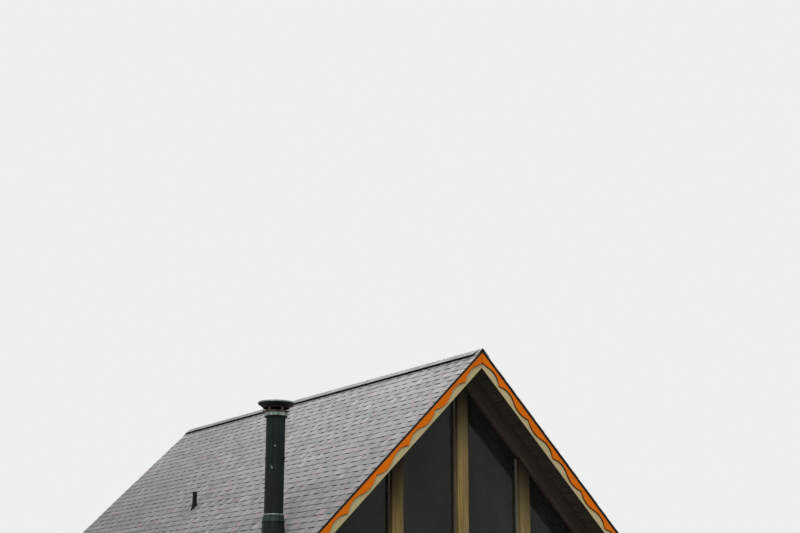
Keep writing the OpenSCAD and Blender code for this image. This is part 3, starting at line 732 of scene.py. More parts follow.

# %% [markdown]
# ## Paint on the trim
#
# Paint is nearly even. It needs only faint brush lines and some dirt that has run down. Faces that look
# down are darkened as painted shade, and so is the narrow corner where one board stands up from another,
# which draws a dark line round the scallops. The Ambient Occlusion node finds such corners by itself,
# where a painted mask would have to follow every scallop. The mitre under the ridge is a fine dark line
# too, and is drawn by its place.

# %% Paint on the trim


def weathered_and_shaded_paint(name, way, colour, worn, dirt, under, corner=0.0, roughness=0.55):
    """Brushed paint: colour, its faded tone, run-down dirt, and a dark tone that paints shade on faces
    that look down and in corners, and draws the mitre. corner is the width in metres of that painted
    shade."""
    material, tree, shader = new_finish(name, roughness, specular=0.08)
    place = grain_place(tree, way)[0]
    fade = noise(tree, stretched(tree, place, (0.8, 3.0, 3.0)), detail=5.0, roughness=0.6)
    tone = blend(tree, ramp(tree, fade, [(0.35, 0.0), (0.75, 1.0)]), colour, worn)
    brush = noise(tree, stretched(tree, place, (3.0, 190.0, 190.0)), detail=3.0)
    tone = blend(tree, 0.18, tone, ramp(tree, brush, [(0.3, 0.5), (0.7, 1.0)]), "MULTIPLY")
    spots = noise(tree, stretched(tree, place, (9.0, 14.0, 14.0)), detail=6.0, roughness=0.7)
    tone = blend(tree, grey(tree, ramp(tree, spots, [(0.58, 0.0), (0.76, 0.7)])), tone, dirt)
    # Faces that look down take the dark tone: painted shade
    upward = add(tree, "SeparateXYZ", {0: add(tree, "NewGeometry").outputs["Normal"]}).outputs[2]
    tone = blend(tree, between(tree, upward, -0.25, -0.5), tone, under)
    if way == "slope":
        from_mitre = add(tree, "Math", {0: point_axes(tree)[0]}, operation="ABSOLUTE").outputs[0]
        tone = blend(tree, between(tree, from_mitre, 0.0030, 0.0015), tone, under)
    # Painted shade in the corner where a board stands up from this one
    if corner:
        openness = add(tree, "AmbientOcclusion", {"Distance": corner}, samples=8).outputs["AO"]
        tone = blend(tree, between(tree, openness, 0.92, 0.62), tone, under)
    tree.links.new(tone, shader.inputs["Base Color"])
    roughen(tree, shader, brush, distance=0.0003)
    return material


# The last tone of each paint is painted shade for faces that look down and for corners, and the mitre's
# line
orange_paint = weathered_and_shaded_paint("orange_paint", "slope", paint(218, 107, 0), paint(200, 97, 0),
                               paint(136, 66, 6), paint(40, 24, 12))
cream_tones = (paint(187, 171, 132), paint(166, 160, 114), paint(120, 110, 78), paint(44, 32, 22))
cream_paint = weathered_and_shaded_paint("cream_paint", "slope", *cream_tones, corner=0.024)
cream_paint_level = weathered_and_shaded_paint("cream_paint_level", "y", *cream_tones)
print(len(bpy.data.materials), "materials with the paints")

# %% [markdown]
# ## Sheet metal
#
# The chimney and the flashings are painted sheet. What makes metal look old is where the water goes:
# streaks that run down it, a cloudy bloom in the paint, and rust in scabs. All three are noise, drawn
# out along the height for the streaks, and a ramp with a narrow step gives the scabs their hard rims.
# Texture Paint could place each streak by hand, but every sheet would have to be unwrapped first.

# %% Sheet metal
RUN = (30.0, 30.0, 1.4)  # how the noise is squeezed across a streak and drawn out down it


def sheet_metal(name, colour, worn, rust=None, roughness=0.5, metallic=0.0, rust_from=0.6):
    """Painted or bare sheet with streaks that have run down it, and rust where the noise is high."""
    material, tree, shader = new_finish(name, roughness, metallic, specular=0.12)
    point = point_of(tree)
    runs = noise(tree, stretched(tree, point, RUN), detail=5.0, roughness=0.6)
    cloud = noise(tree, point, scale=5.0, detail=5.0, roughness=0.6)
    tone = blend(tree, ramp(tree, runs, [(0.40, 0.0), (0.78, 1.0)]), colour, worn)
    tone = blend(tree, 0.35, tone, ramp(tree, cloud, [(0.3, 0.55), (0.7, 1.0)]), "MULTIPLY")
    if rust:
        scab = noise(tree, point, scale=26.0, detail=8.0, roughness=0.72)
        tone = blend(tree, ramp(tree, scab, [(rust_from, 0.0), (rust_from + 0.08, 1.0)]), tone, rust)
    tree.links.new(tone, shader.inputs["Base Color"])
    rough = ramp(tree, cloud, [(0.3, min(1.0, roughness + 0.12)), (0.7, roughness - 0.08)])
    tree.links.new(grey(tree, rough), shader.inputs["Roughness"])
    roughen(tree, shader, cloud, distance=0.0008)
    return material


drip_metal = sheet_metal("drip_metal", paint(12, 16, 15), paint(26, 32, 30), roughness=0.55)
chimney_metal = sheet_metal("chimney_metal", paint(21, 27, 27), paint(33, 41, 40), roughness=0.65)
cap_metal = sheet_metal("cap_metal", paint(15, 15, 14), paint(25, 24, 22), paint(64, 42, 32),
                        rust_from=0.66)
# Pale green: the collar's worn paint, and a painted highlight on the lid's rim and top and the storm
# collar's bead
cap_green = sheet_metal("cap_green", paint(104, 122, 112), paint(186, 194, 184), paint(46, 54, 50),
                        rust_from=0.64)
cap_rust = sheet_metal("cap_rust", paint(62, 48, 40), paint(124, 104, 84), paint(44, 32, 27),
                       rust_from=0.55)
flashing_metal = sheet_metal("flashing_metal", paint(22, 27, 26), paint(36, 43, 41), roughness=0.6)
collar_metal = sheet_metal("collar_metal", paint(30, 42, 40), paint(56, 72, 67), roughness=0.55)
plate_metal = sheet_metal("plate_metal", paint(128, 128, 126), paint(146, 145, 142), roughness=0.7)
door_metal = sheet_metal("door_metal", paint(32, 32, 31), paint(50, 50, 48), roughness=0.35,
                         metallic=0.6)
print(len(bpy.data.materials), "materials with the metals")

# %% [markdown]
# ## Glass
#
# The panes look almost black, because the room behind them is dark. Glass that bends light, as a
# transmission setting gives, is slow and noisy in front of a closed room, and shows grains of light. A
# pane that is partly see-through by its alpha, with a thin film of dust as its colour, stays calm and
# still mirrors the world at a flat angle.

# %% Glass


def dusty_glass(name):
    """A sealed pane. It lets some light straight through each face, and carries a film of dust."""
    material, tree, shader = new_finish(name, roughness=0.03)
    shader.inputs["IOR"].default_value = 1.33
    shader.inputs["Alpha"].default_value = 0.62
    point = point_of(tree)
    film = noise(tree, stretched(tree, point, (3.0, 3.0, 0.7)), detail=5.0, roughness=0.6)
    tree.links.new(ramp(tree, film, [(0.3, paint(30, 32, 27)), (0.7, paint(46, 48, 41))]),
                   shader.inputs["Base Color"])
    return material


pane_glass = dusty_glass("pane_glass")
print("glass made of", len(pane_glass.node_tree.nodes), "nodes")

# %% [markdown]
# ## Concrete
#
# The base is cast concrete. Large clouds are damp and age, fine noise is the sand, and the dark centres
# of small Voronoi cells are the pits that air bubbles leave against the formwork. The pits also go
# into the bump, so that they read as holes and not as dots. An even grey would look like plastic.

# %% Concrete


def cast_concrete(name):
    material, tree, shader = new_finish(name, roughness=0.9, specular=0.3)
    point = point_of(tree)
    cloud = noise(tree, point, scale=1.3, detail=7.0, roughness=0.62)
    sand = noise(tree, point, scale=160.0, detail=3.0, roughness=0.6)
    pits = add(tree, "TexVoronoi", {"Vector": point, "Scale": 34.0}).outputs["Distance"]
    holes = ramp(tree, pits, [(0.05, 0.0), (0.11, 1.0)])
    colour = ramp(tree, cloud, [(0.3, paint(118, 115, 108)), (0.55, paint(146, 143, 136)),
                                (0.75, paint(162, 158, 150))])
    colour = blend(tree, 0.35, colour, ramp(tree, sand, [(0.35, 0.6), (0.65, 1.0)]), "MULTIPLY")
    colour = blend(tree, 0.5, colour, holes, "MULTIPLY")
    tree.links.new(colour, shader.inputs["Base Color"])
    relief = sum_of(tree, times(tree, sand, 0.4), grey(tree, holes))
    roughen(tree, shader, relief, distance=0.0016)
    return material


concrete = cast_concrete("concrete")
print("concrete made of", len(concrete.node_tree.nodes), "nodes")

# %% [markdown]
# ## Pieces that keep their solid
#
# Where a solid already has the real outline, such as a post or a rafter, it stays and only gets its
# finish and its eased edges. The mesh arrives with a separate corner for every face, so a Weld modifier
# joins the corners and a Bevel modifier then rounds what is sharper than its angle. Both work on top of
# the mesh and leave the solid itself alone. To build each stick anew would only repeat the solid.

# %% Finish and ease the solids that stay
SHARP = math.radians(28)
SAME_CORNER = 0.00005  # corners of a solid node closer than this are one corner


def soften(piece, width, segments=2):
    """Rounds the edges of a piece that turn by more than SHARP."""
    rounding = piece.modifiers.new("rounding", "BEVEL")
    rounding.width = width
    rounding.segments = segments
    rounding.limit_method = "ANGLE"
    rounding.angle_limit = SHARP


def ease(node, material, width, segments=2):
    """Gives a solid node its finish, and edges rounded to width."""
    piece = nodes[node]
    piece.data.materials.clear()
    piece.data.materials.append(material)
    if width:
        weld = piece.modifiers.new("weld", "WELD")
        weld.merge_threshold = SAME_CORNER
        soften(piece, width, segments)


for end in ("front", "back"):
    ease("posts_" + end, post_wood, width=0.005, segments=3)
    ease("rails_" + end, rail_wood, width=0.003)
    ease("gable_rafters_" + end, gable_wood, width=0.004)
    ease("glazing_stops_" + end, stop_wood, width=0.0015)
    ease("rake_boards_" + end, cream_paint, width=0.0015)
    ease("scalloped_trim_" + end, orange_paint, width=0.0012)
    ease("glass_" + end, pane_glass, width=0)
    ease("sill_plate_" + end, sill_wood_across, width=0.003)
ease("sill_plates_side", sill_wood, width=0.003)
ease("rafters_left", rafter_wood, width=0.003)
ease("rafters_right", rafter_wood, width=0.003)
ease("ridge_beam", beam_wood, width=0.003)
ease("eave_fascias", cream_paint_level, width=0.0015)
ease("drip_edges", drip_metal, width=0.0003, segments=1)
ease("concrete_base", concrete, width=0.008, segments=3)
ease("door_frame", door_wood, width=0.002)
ease("door_glass", pane_glass, width=0)
ease("chimney_support", chimney_metal, width=0)
print(sum(len(piece.modifiers) > 0 for piece in nodes.values()), "solids have eased edges")

# %% [markdown]
# ## Floor boards
#
# The floor is one sheet in the solid. On the real cabin it is tongued boards, nailed through the tongue
# so that no nail shows, only the fine V where two eased edges meet. Each row is cut from lengths that
# end over a batten. An array of one board would be quicker, but every joint would then fall in line.

# %% Floor boards
FLOOR_BOARD = 0.140
EASED = 0.002
JOINT = 0.0006  # half of the gap between two boards
BATTEN_STEP = 0.6
FIRST_BATTEN = 2  # the first batten, counted from the front, that a joint may lie on
ROW_JOINTS = 2
SLIVER = 0.001  # stretches shorter than this are dropped


def spans(low, high, cuts):
    """What is left of the stretch from low to high when the stretches in cuts are taken out."""
    left = [(low, high)] if high - low > SLIVER else []
    for a, b in cuts:
        left = [part for start, end in left
                for part in ((start, min(end, a)), (max(start, b), end)) if part[1] - part[0] > SLIVER]
    return left


floor_low, floor_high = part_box("floor_planks")
floor_rows = round((floor_high.x - floor_low.x) / FLOOR_BOARD)
board_width = (floor_high.x - floor_low.x) / floor_rows
batten_count = int((floor_high.y - floor_low.y) / BATTEN_STEP)
battens = [floor_low.y + BATTEN_STEP * i for i in range(FIRST_BATTEN, batten_count)]
floor_boards = Pile()
for row in range(floor_rows):
    x0 = floor_low.x + row * board_width + JOINT
    x1 = x0 + board_width - 2 * JOINT
    outline = [(x0, floor_low.z), (x1, floor_low.z), (x1, floor_high.z - EASED),
               (x1 - EASED, floor_high.z), (x0 + EASED, floor_high.z), (x0, floor_high.z - EASED)]
    cuts = [(y - JOINT, y + JOINT) for y in random.sample(battens, ROW_JOINTS)]
    for y0, y1 in spans(floor_low.y, floor_high.y, cuts):
        floor_boards.prism([Vector((x, y0, z)) for x, z in outline],
                           [Vector((x, y1, z)) for x, z in outline])
seat(make(floor_boards, "floor_boards", [floor_wood]), "floor_wood", "floor_planks")

# %% [markdown]
# ## Wall boards
#
# Past the glass and in the low corners the gables are closed with upright boards, on the outside and on
# the inside of a hidden frame, and every top end is cut to the slope of the gable rafter. Long boards
# could be cut by a boolean. A prism is simpler: its lower outline is level, and each point of its upper
# outline rises to the rafter.

# %% Wall boards
WALL_BOARD = 0.120
WALL_SKIN = 0.020  # thickness of the boards
V_CUT = 0.004
POST = 0.190
POST_STEP = 1.135  # from the middle of one post to the next
RAFTER_DEPTH = 0.235
SHORTEST = 0.001  # height of a board that the slope cuts away
wall_crest = ridge_z - RAFTER_DEPTH / math.cos(PITCH)


def upright_board(pile, side, plan, low):
    """A board cut to the gable rafter at its top. plan is its outline, as distances out and Y."""
    near = [Vector((side * x, y, low)) for x, y in plan]
    far = [Vector((side * x, y, max(wall_crest - x * math.tan(PITCH), low + SHORTEST)))
           for x, y in plan]
    pile.prism(near, far)


for end in ("front", "back"):
    low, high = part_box("wall_panels_" + end)
    outer, inner = (low.y, high.y) if end == "front" else (high.y, low.y)
    into = math.copysign(1, inner - outer)
    bays = ((2 * POST_STEP + POST / 2, 3 * POST_STEP - POST / 2), (3 * POST_STEP + POST / 2, high.x))
    walls = Pile()
    for start, stop in bays:
        count = round((stop - start) / WALL_BOARD)
        step = (stop - start) / count
        for side in (LEFT, RIGHT):
            for i in range(count):
                a, b = start + i * step + JOINT, start + (i + 1) * step - JOINT
                for face, way in ((outer, into), (inner, -into)):
                    cut, back = face + way * V_CUT, face + way * WALL_SKIN
                    upright_board(walls, side, [(a, back), (a, cut), (a + V_CUT, face),
                                                (b - V_CUT, face), (b, cut), (b, back)], low.z)
            # The hidden frame is one block between the two skins
            a, b = start + JOINT, stop - JOINT
            y0, y1 = outer + into * (WALL_SKIN + JOINT), inner - into * (WALL_SKIN + JOINT)
            upright_board(walls, side, [(a, y0), (b, y0), (b, y1), (a, y1)], low.z)
    seat(make(walls, "wall_boards_" + end, [panel_wood]), "panel_wood", "wall_panels_" + end)

# %% [markdown]
# ## Door leaf
#
# A glazed door is two stiles that run the full height, with rails tenoned between them. A block with a
# hole in it would have no joints, and they tell the eye that it is joinery, so the four sticks are
# separate and their edges are rounded. A sloping bead holds the pane on each face. It is one ring of
# four mitred outlines.

# %% Door leaf
BEAD = [(0, 0.002), (0.005, 0.002), (0.012, 0.010), (0.012, 0.0115), (0, 0.0115)]  # width and depth
CLEAR = 0.0003  # gap between two pieces that touch
LEAF_EASED = 0.002

leaf_low, leaf_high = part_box("door_leaf")
pane_low, pane_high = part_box("door_glass")
STILE_WOOD, RAIL_WOOD = 0, 1
leaf = Pile()
for x0, x1 in ((leaf_low.x, pane_low.x), (pane_high.x, leaf_high.x)):
    leaf.box((x0, leaf_low.y, leaf_low.z), (x1, leaf_high.y, leaf_high.z), STILE_WOOD)
for z0, z1 in ((leaf_low.z, pane_low.z), (pane_high.z, leaf_high.z)):
    leaf.box((pane_low.x + JOINT, leaf_low.y, z0), (pane_high.x - JOINT, leaf_high.y, z1), RAIL_WOOD)
leaf_piece = make(leaf, "door_stiles_and_rails", [door_wood, door_rail_wood])
soften(seat(leaf_piece, "door_wood", "door_leaf"), LEAF_EASED)

beads = Pile()
corners = ((pane_low.x, pane_low.z, 1, 1), (pane_high.x, pane_low.z, -1, 1),
           (pane_high.x, pane_high.z, -1, -1), (pane_low.x, pane_high.z, 1, -1))
for face, way in ((leaf_low.y, 1), (leaf_high.y, -1)):
    skin(beads, [[Vector((x + right * (width + CLEAR), face + way * depth, z + up * (width + CLEAR)))
                 for width, depth in BEAD] for x, z, right, up in corners], closed=True)
seat(make(beads, "door_beads", [door_wood]), "door_wood")

# %% [markdown]
# ## Door handles
#
# A lever handle is a turned rose with a bent bar. The bar is swept: a small oval is carried along a
# path and turned with it, and the last ovals shrink into a rounded tip. A curve object with a bevel
# would give the same bar, but as a mesh it can be piled with the rose and mirrored for the inside.

# %% Door handles
ROSE = 0.026  # radius
LEVER_OUT = 0.048  # from the door to the middle of the bar
LEVER_LENGTH = 0.112
LEVER_OVAL = (0.0085, 0.0075)  # half sizes across the bar and up it
CORNER = 0.016  # radius of the bar's bend
CORNER_STEPS = 6
BAR_STEPS = 18
ROSE_STEPS = 40

handle_low, handle_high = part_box("door_handles")
handle_x = handle_low.x + ROSE
handle_z = (handle_low.z + handle_high.z) / 2
bend = [(CORNER - CORNER * math.cos(a), LEVER_OUT - CORNER + CORNER * math.sin(a))
        for a in (math.pi / 2 * i / CORNER_STEPS for i in range(CORNER_STEPS + 1))]
path = [(0, 0.004), (0, 0.016), *bend, (0.060, LEVER_OUT), (0.090, LEVER_OUT - 0.001),
        (LEVER_LENGTH - 0.004, LEVER_OUT - 0.004), (LEVER_LENGTH - 0.001, LEVER_OUT - 0.0048),
        (LEVER_LENGTH, LEVER_OUT - 0.005)]
shrink = [1.0] * (len(path) - 2) + [0.7, 0.2]  # the last two ovals close the tip

handles = Pile()
for face, way in ((leaf_low.y, -1), (leaf_high.y, 1)):
    outward = Vector((0, way, 0)).to_track_quat("Z", "X").to_matrix().to_4x4()
    at_rose = Matrix.Translation((handle_x, face, handle_z)) @ outward
    rose = [(0, 0), (ROSE, 0), (ROSE, 0.005), (ROSE - 0.001, 0.007), (ROSE - 0.003, 0.008),
            (0.014, 0.008), (0.013, 0.012), (0.0115, 0.014), (0, 0.014)]
    turned(handles, at_rose, rose, steps=ROSE_STEPS)
    ovals = []
    for i, (along, out) in enumerate(path):
        before, after = path[max(i - 1, 0)], path[min(i + 1, len(path) - 1)]
        heading = Vector((after[0] - before[0], way * (after[1] - before[1]), 0)).normalized()
        across = Vector((-heading.y, heading.x, 0))
        middle = Vector((handle_x + along, face + way * out, handle_z))
        ovals.append([
            middle + across * (LEVER_OVAL[0] * shrink[i] * math.cos(math.tau * k / BAR_STEPS))
            + Vector((0, 0, LEVER_OVAL[1] * shrink[i] * math.sin(math.tau * k / BAR_STEPS)))
            for k in range(BAR_STEPS)])
    skin(handles, ovals)
seat(make(handles, "lever_handles", [door_metal]), "door_metal", "door_handles")

# %% [markdown]
# ## Door hinges
#
# Three butt hinges carry the door. Each is two flat leaves and a row of knuckles round one pin, whose
# ends are domed. One plain cylinder would pass from far away, but the fine gaps between the knuckles
# show what it is, so each knuckle is a short turned barrel with eased ends.

# %% Door hinges
HINGE_HIGH = 0.100
DOOR_JAMB = 0.038
KNUCKLE = 0.0066  # radius of a knuckle
KNUCKLE_GAP = 0.0003  # at each end of a knuckle
KNUCKLE_EASED = 0.0005
KNUCKLES = 5
SOLID_KNUCKLE = 0.007  # radius of the solid hinge
TIP = 0.004  # length of the pin's tip
HINGE_LEAF = 0.0012
BARREL_STEPS, TIP_STEPS = 24, 20

hinge_low, hinge_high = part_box("door_hinges")
knuckle_x = (leaf_high.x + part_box("door_frame")[1].x - DOOR_JAMB) / 2
knuckle_y = hinge_low.y + SOLID_KNUCKLE
hinges = Pile()
middle_z = (hinge_low.z + hinge_high.z) / 2
for z in (hinge_low.z + HINGE_HIGH / 2, middle_z, hinge_high.z - HINGE_HIGH / 2):
    z0, z1 = z - HINGE_HIGH / 2, z + HINGE_HIGH / 2
    for x in (leaf_high.x, 2 * knuckle_x - leaf_high.x - HINGE_LEAF):
        hinges.box((x, knuckle_y, z0), (x + HINGE_LEAF, hinge_high.y, z1))
    length = (HINGE_HIGH - 2 * TIP) / KNUCKLES
    low, high = KNUCKLE_GAP, length - KNUCKLE_GAP
    barrel = [(0, low), (KNUCKLE - KNUCKLE_EASED, low), (KNUCKLE, low + KNUCKLE_EASED),
              (KNUCKLE, high - KNUCKLE_EASED), (KNUCKLE - KNUCKLE_EASED, high), (0, high)]
    for i in range(KNUCKLES):
        at_knuckle = Matrix.Translation((knuckle_x, knuckle_y, z0 + TIP + i * length))
        turned(hinges, at_knuckle, barrel, steps=BARREL_STEPS)
    for tip, way in ((z1 - TIP, 1), (z0 + TIP, -1)):
        dome = [(0, 0), (0.0045, 0), (0.0040, way * 0.0022), (0.0022, way * 0.0036), (0, way * 0.0039)]
        turned(hinges, Matrix.Translation((knuckle_x, knuckle_y, tip)), dome, steps=TIP_STEPS)
seat(make(hinges, "butt_hinges", [door_metal]), "door_metal", "door_hinges")

# %% [markdown]
# ## Nails in the trim
#
# The boards of the rakes and eaves are face-nailed and painted over, so each head is only a low round
# bump in the colour of its board. They are worth their few faces in a close view, where a board
# without any fixing looks like a drawing. Each head is a small turned dome, set square to its board.

# %% Trim nails
NAIL = 0.0035  # radius of a head
NAIL_HIGH = 0.0009
NAIL_STEP = 0.405
FIRST_NAIL = 0.22  # down the slope from the ridge
CREAM_V = -0.126  # height v of the nails in the cream board
ORANGE_V = 0.012
FASCIA_STEP = 0.59
FASCIA_NAILS = 8  # each side of the middle
FASCIA_VS = (0.020, -0.030)
NAIL_DRIFT = 0.006  # how far a nail may be off its mark
FASCIA_DRIFT = 0.010
NAIL_STEPS = 8
SUNK = 0.001  # how far a head goes into the piece under it
CREAM, ORANGE = 0, 1


def button(pile, place, radius, height, finish=0, steps=14):
    """A low round head, such as a nail's or a rivet's, that stands on the XY plane of place."""
    dome = [(0, height), (radius * 0.6, height * 0.9), (radius * 0.9, height * 0.5), (radius, 0),
            (radius, -SUNK), (0, -SUNK)]
    turned(pile, place, dome, finish, steps=steps)


def facing(place, out):
    """A frame at place whose Z points along out."""
    return Matrix.Translation(place) @ out.to_track_quat("Z", "X").to_matrix().to_4x4()


nails = Pile()
for end, way in (("front", -1), ("back", 1)):
    cream_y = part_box("rake_boards_" + end)[0 if way < 0 else 1].y
    orange_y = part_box("scalloped_trim_" + end)[0 if way < 0 else 1].y
    for side in (LEFT, RIGHT):
        for i in range(int(planks_end / NAIL_STEP)):
            u = FIRST_NAIL + i * NAIL_STEP
            for y, v, finish in ((cream_y, CREAM_V, CREAM), (orange_y, ORANGE_V, ORANGE)):
                drift = random.uniform(-NAIL_DRIFT, NAIL_DRIFT)
                head = facing(on_slope(side, u + drift, v + drift / 2, y), Vector((0, way, 0)))
                button(nails, head, NAIL, NAIL_HIGH, finish, steps=NAIL_STEPS)
fascia_end = (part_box("eave_fascias")[1].x - PLANK * math.sin(PITCH)) / math.cos(PITCH)
for side in (LEFT, RIGHT):
    down_slope = on_slope(side, 1, 0, 0) - on_slope(side, 0, 0, 0)
    for i in range(-FASCIA_NAILS, FASCIA_NAILS + 1):
        for v in FASCIA_VS:
            y = i * FASCIA_STEP + random.uniform(-FASCIA_DRIFT, FASCIA_DRIFT)
            place = on_slope(side, fascia_end, v, y)
            button(nails, facing(place, down_slope), NAIL, NAIL_HIGH, CREAM, steps=NAIL_STEPS)
seat(make(nails, "trim_nails", [cream_paint, orange_paint]), "cream_paint")

# %% [markdown]
# ## Holes for the pipes
#
# The chimney and the vent pipe go through planks and shingles. A boolean could cut them free, but on a
# pile of thousands of solids it is slow and often fails. Each board or shingle is instead made of
# blocks: whole ones beside a hole, and over and under it narrow strips that end at the round. The
# strips run a little way into the pipe's wall, where nobody sees their steps.

# %% Holes for the pipes
BAND_OUT = 0.003  # thickness of the chimney's locking bands
HOLE_STRIPS = 12


def round_of(node):
    """The axis, as X and Y, and the radius of an upright round solid, from its box."""
    low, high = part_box(node)
    return ((low.x + high.x) / 2, (low.y + high.y) / 2), (high.x - low.x) / 2


pipe_axis, band_radius = round_of("chimney_pipe")
PIPE = band_radius - BAND_OUT  # radius of the chimney between its bands
stack_axis, stack_radius = round_of("vent_pipe")


def round_pipes(side, u0, u1, y0, y1, v):
    """The patch between u0 and u1 and between y0 and y1, as blocks that leave the pipes' holes free.
    Above and below a hole, the blocks are narrow strips that follow its round."""
    cuts, strips = [], []
    pipes = ((pipe_axis, PIPE), (stack_axis, stack_radius)) if side == LEFT else ()
    for (x, y), reach in pipes:
        middle = crossing(-x, v)
        if u1 < middle - reach / math.cos(PITCH) or u0 > middle + reach / math.cos(PITCH):
            continue
        cuts.append((y - reach, y + reach))
        width = 2 * reach / HOLE_STRIPS
        for i in range(HOLE_STRIPS):
            a, b = max(y - reach + i * width, y0), min(y - reach + (i + 1) * width, y1)
            away = max(abs(i - HOLE_STRIPS / 2), abs(i + 1 - HOLE_STRIPS / 2)) * width
            half = math.sqrt(max(0, reach ** 2 - away ** 2)) / math.cos(PITCH)
            open_part = [(middle - half, middle + half)]
            if b > a:
                strips += [(low, high, a, b) for low, high in spans(u0, u1, open_part)]
    return [(u0, u1, a, b) for a, b in spans(y0, y1, cuts)] + strips


print("pipes of radius", round(PIPE, 4), "and", round(stack_radius, 4))

# %% [markdown]
# ## Roof planks
#
# The underside of the planks is the ceiling of the cabin and the dark soffit of the overhang. On the
# real roof it is a run of boards laid level across the rafters, with a V groove at each joint. Grooves
# could be a bump, but they catch the light along the overhang, so the boards are cut as prisms, from
# the eave up to the mitre at the ridge. Each row has one butt joint, over a rafter picked at random.

# %% Roof planks
BOARD = 0.140
GROOVE = 0.003
RAFTER = 0.089  # width of a rafter
RAFTER_PAIRS = 6

planks_front, planks_back = (corner.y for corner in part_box("roof_planks_right"))
first_rafter, last_rafter = (corner.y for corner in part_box("rafters_right"))
rafter_step = (last_rafter - first_rafter - RAFTER) / (RAFTER_PAIRS - 1)
rafter_ys = [first_rafter + RAFTER / 2 + i * rafter_step for i in range(RAFTER_PAIRS)]


def plank_row(pile, side, u0, u1, y0, y1, tint):
    """One board from y0 to y1, with its lower edges chamfered. The first one meets the mitre."""
    a, b = u0 + JOINT, u1 - JOINT
    top = mitre(PLANK, JOINT) if u0 == 0 else a
    outline = [(a + GROOVE, 0), (b - GROOVE, 0), (b, GROOVE), (b, PLANK), (top, PLANK), (a, GROOVE)]
    pile.prism([on_slope(side, u, v, y0) for u, v in outline],
               [on_slope(side, u, v, y1) for u, v in outline], tint=tint)


rows = round(planks_end / BOARD)
row_width = planks_end / rows
for side, half in ((LEFT, "left"), (RIGHT, "right")):
    planks = Pile()
    for row in range(rows):
        u0, u1 = row * row_width, (row + 1) * row_width
        joint = random.choice(rafter_ys)
        for y0, y1 in ((planks_front, joint - JOINT), (joint + JOINT, planks_back)):
            tint = random.random()
            for block in round_pipes(side, u0, u1, y0, y1, PLANK / 2):
                plank_row(planks, side, *block, tint)
    seat(make(planks, "roof_boards_" + half, [plank_wood]), "plank_wood", "roof_planks_" + half)

# %% [markdown]
# ## Shingles
#
# The roof has laminated shingles. Every course shows 127 mm of a plain lower layer, and an upper layer
# of teeth of uneven width is bonded to it. A tooth that ends over a gap of the course below leaves a
# tall dark edge, and over another tooth a low one, which gives the broken, dashed lines of such a roof.
# A brick texture can't do that, because the edges have to catch the light. So both layers are thin
# slabs here: long ones for the lower layer, and one for each tooth. Their lower edges show black
# asphalt, and no butt lies quite level.

# %% One piece of shingle
STONE_FACE, ASPHALT_FACE = 0, 1
CURL = 0.001  # how far a butt may be out of line or out of level


def wandering(low, high, *widths):
    """Places from before low to past high, in steps drawn from each range of widths in turn."""
    places = [low - random.uniform(0, widths[0][1])]
    while places[-1] < high:
        places.append(places[-1] + random.uniform(*widths[len(places) % len(widths)]))
    return places


def slab(pile, side, butt, head, y0, y1, tops, bottoms):
    """A piece of shingle. tops and bottoms are the heights of its two faces, at its butt and head."""
    tint, uneven, curl = random.random(), random.uniform(-CURL, CURL), random.random() * CURL

    def height(pair, u):
        return pair[0] + (pair[1] - pair[0]) * (butt - u) / (butt - head)

    for u0, u1, a, b in round_pipes(side, head, butt, y0, y1, BUTT):
        skew = uneven if u1 == butt else 0
        near, far = [
            [on_slope(side, u + shift, height(tops, u) - drop, a),
             on_slope(side, u - shift, height(tops, u) - drop / 2, b),
             on_slope(side, u - shift, height(bottoms, u), b),
             on_slope(side, u + shift, height(bottoms, u), a)]
            for u, shift, drop in ((u1, skew, curl), (u0, 0, 0))]
        sides = [STONE_FACE, STONE_FACE, ASPHALT_FACE, STONE_FACE]
        pile.prism(near, far, sides=sides, ends=ASPHALT_FACE, tint=tint)


print("butts wander by up to", CURL, "m")

# %% [markdown]
# ## Courses of shingles
#
# A roofer starts each course with a piece that is cut off at random, so that the joints of two courses
# seldom meet. A regular array would be one line of code, but it looks printed. The courses are laid
# from the eave up to the ridge, and the heads of the teeth slip under the next course. The lower layer
# carries a band of dark stone just under the next course, which deepens the shadow between the teeth.

# %% Courses of shingles
SHINGLE = 1.0  # length of one shingle
TOOTH = (0.085, 0.190)
TOOTH_GAP = (0.060, 0.170)
LAMINATE = 0.0045  # thickness of the teeth
MAT_STEP = 0.0040  # fall of the lower layer from its butt to the next one
TUCK = 0.012  # how far a tooth slips under the next course
DRIP_TOP = 0.040  # height v of the top of the drip edge's metal
UNDER = DRIP_TOP + 0.0001
BUTT_GAP = 0.0016  # between the lowest butts and the end of the solid shingles
MAT_BACK = 0.001  # how far the lower layer's butt lies behind the teeth
END_BACK = 0.0005  # how far the lower layer stays inside the ends of the roof
HEAD_DOWN = 0.0004  # how far the head of a tooth lies under the face of the lower layer above it
BOND = 0.0002  # how far the teeth are pressed into the lower layer
shingle_front, shingle_back = (corner.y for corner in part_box("shingles_right"))
courses = int(shingle_end / EXPOSURE)

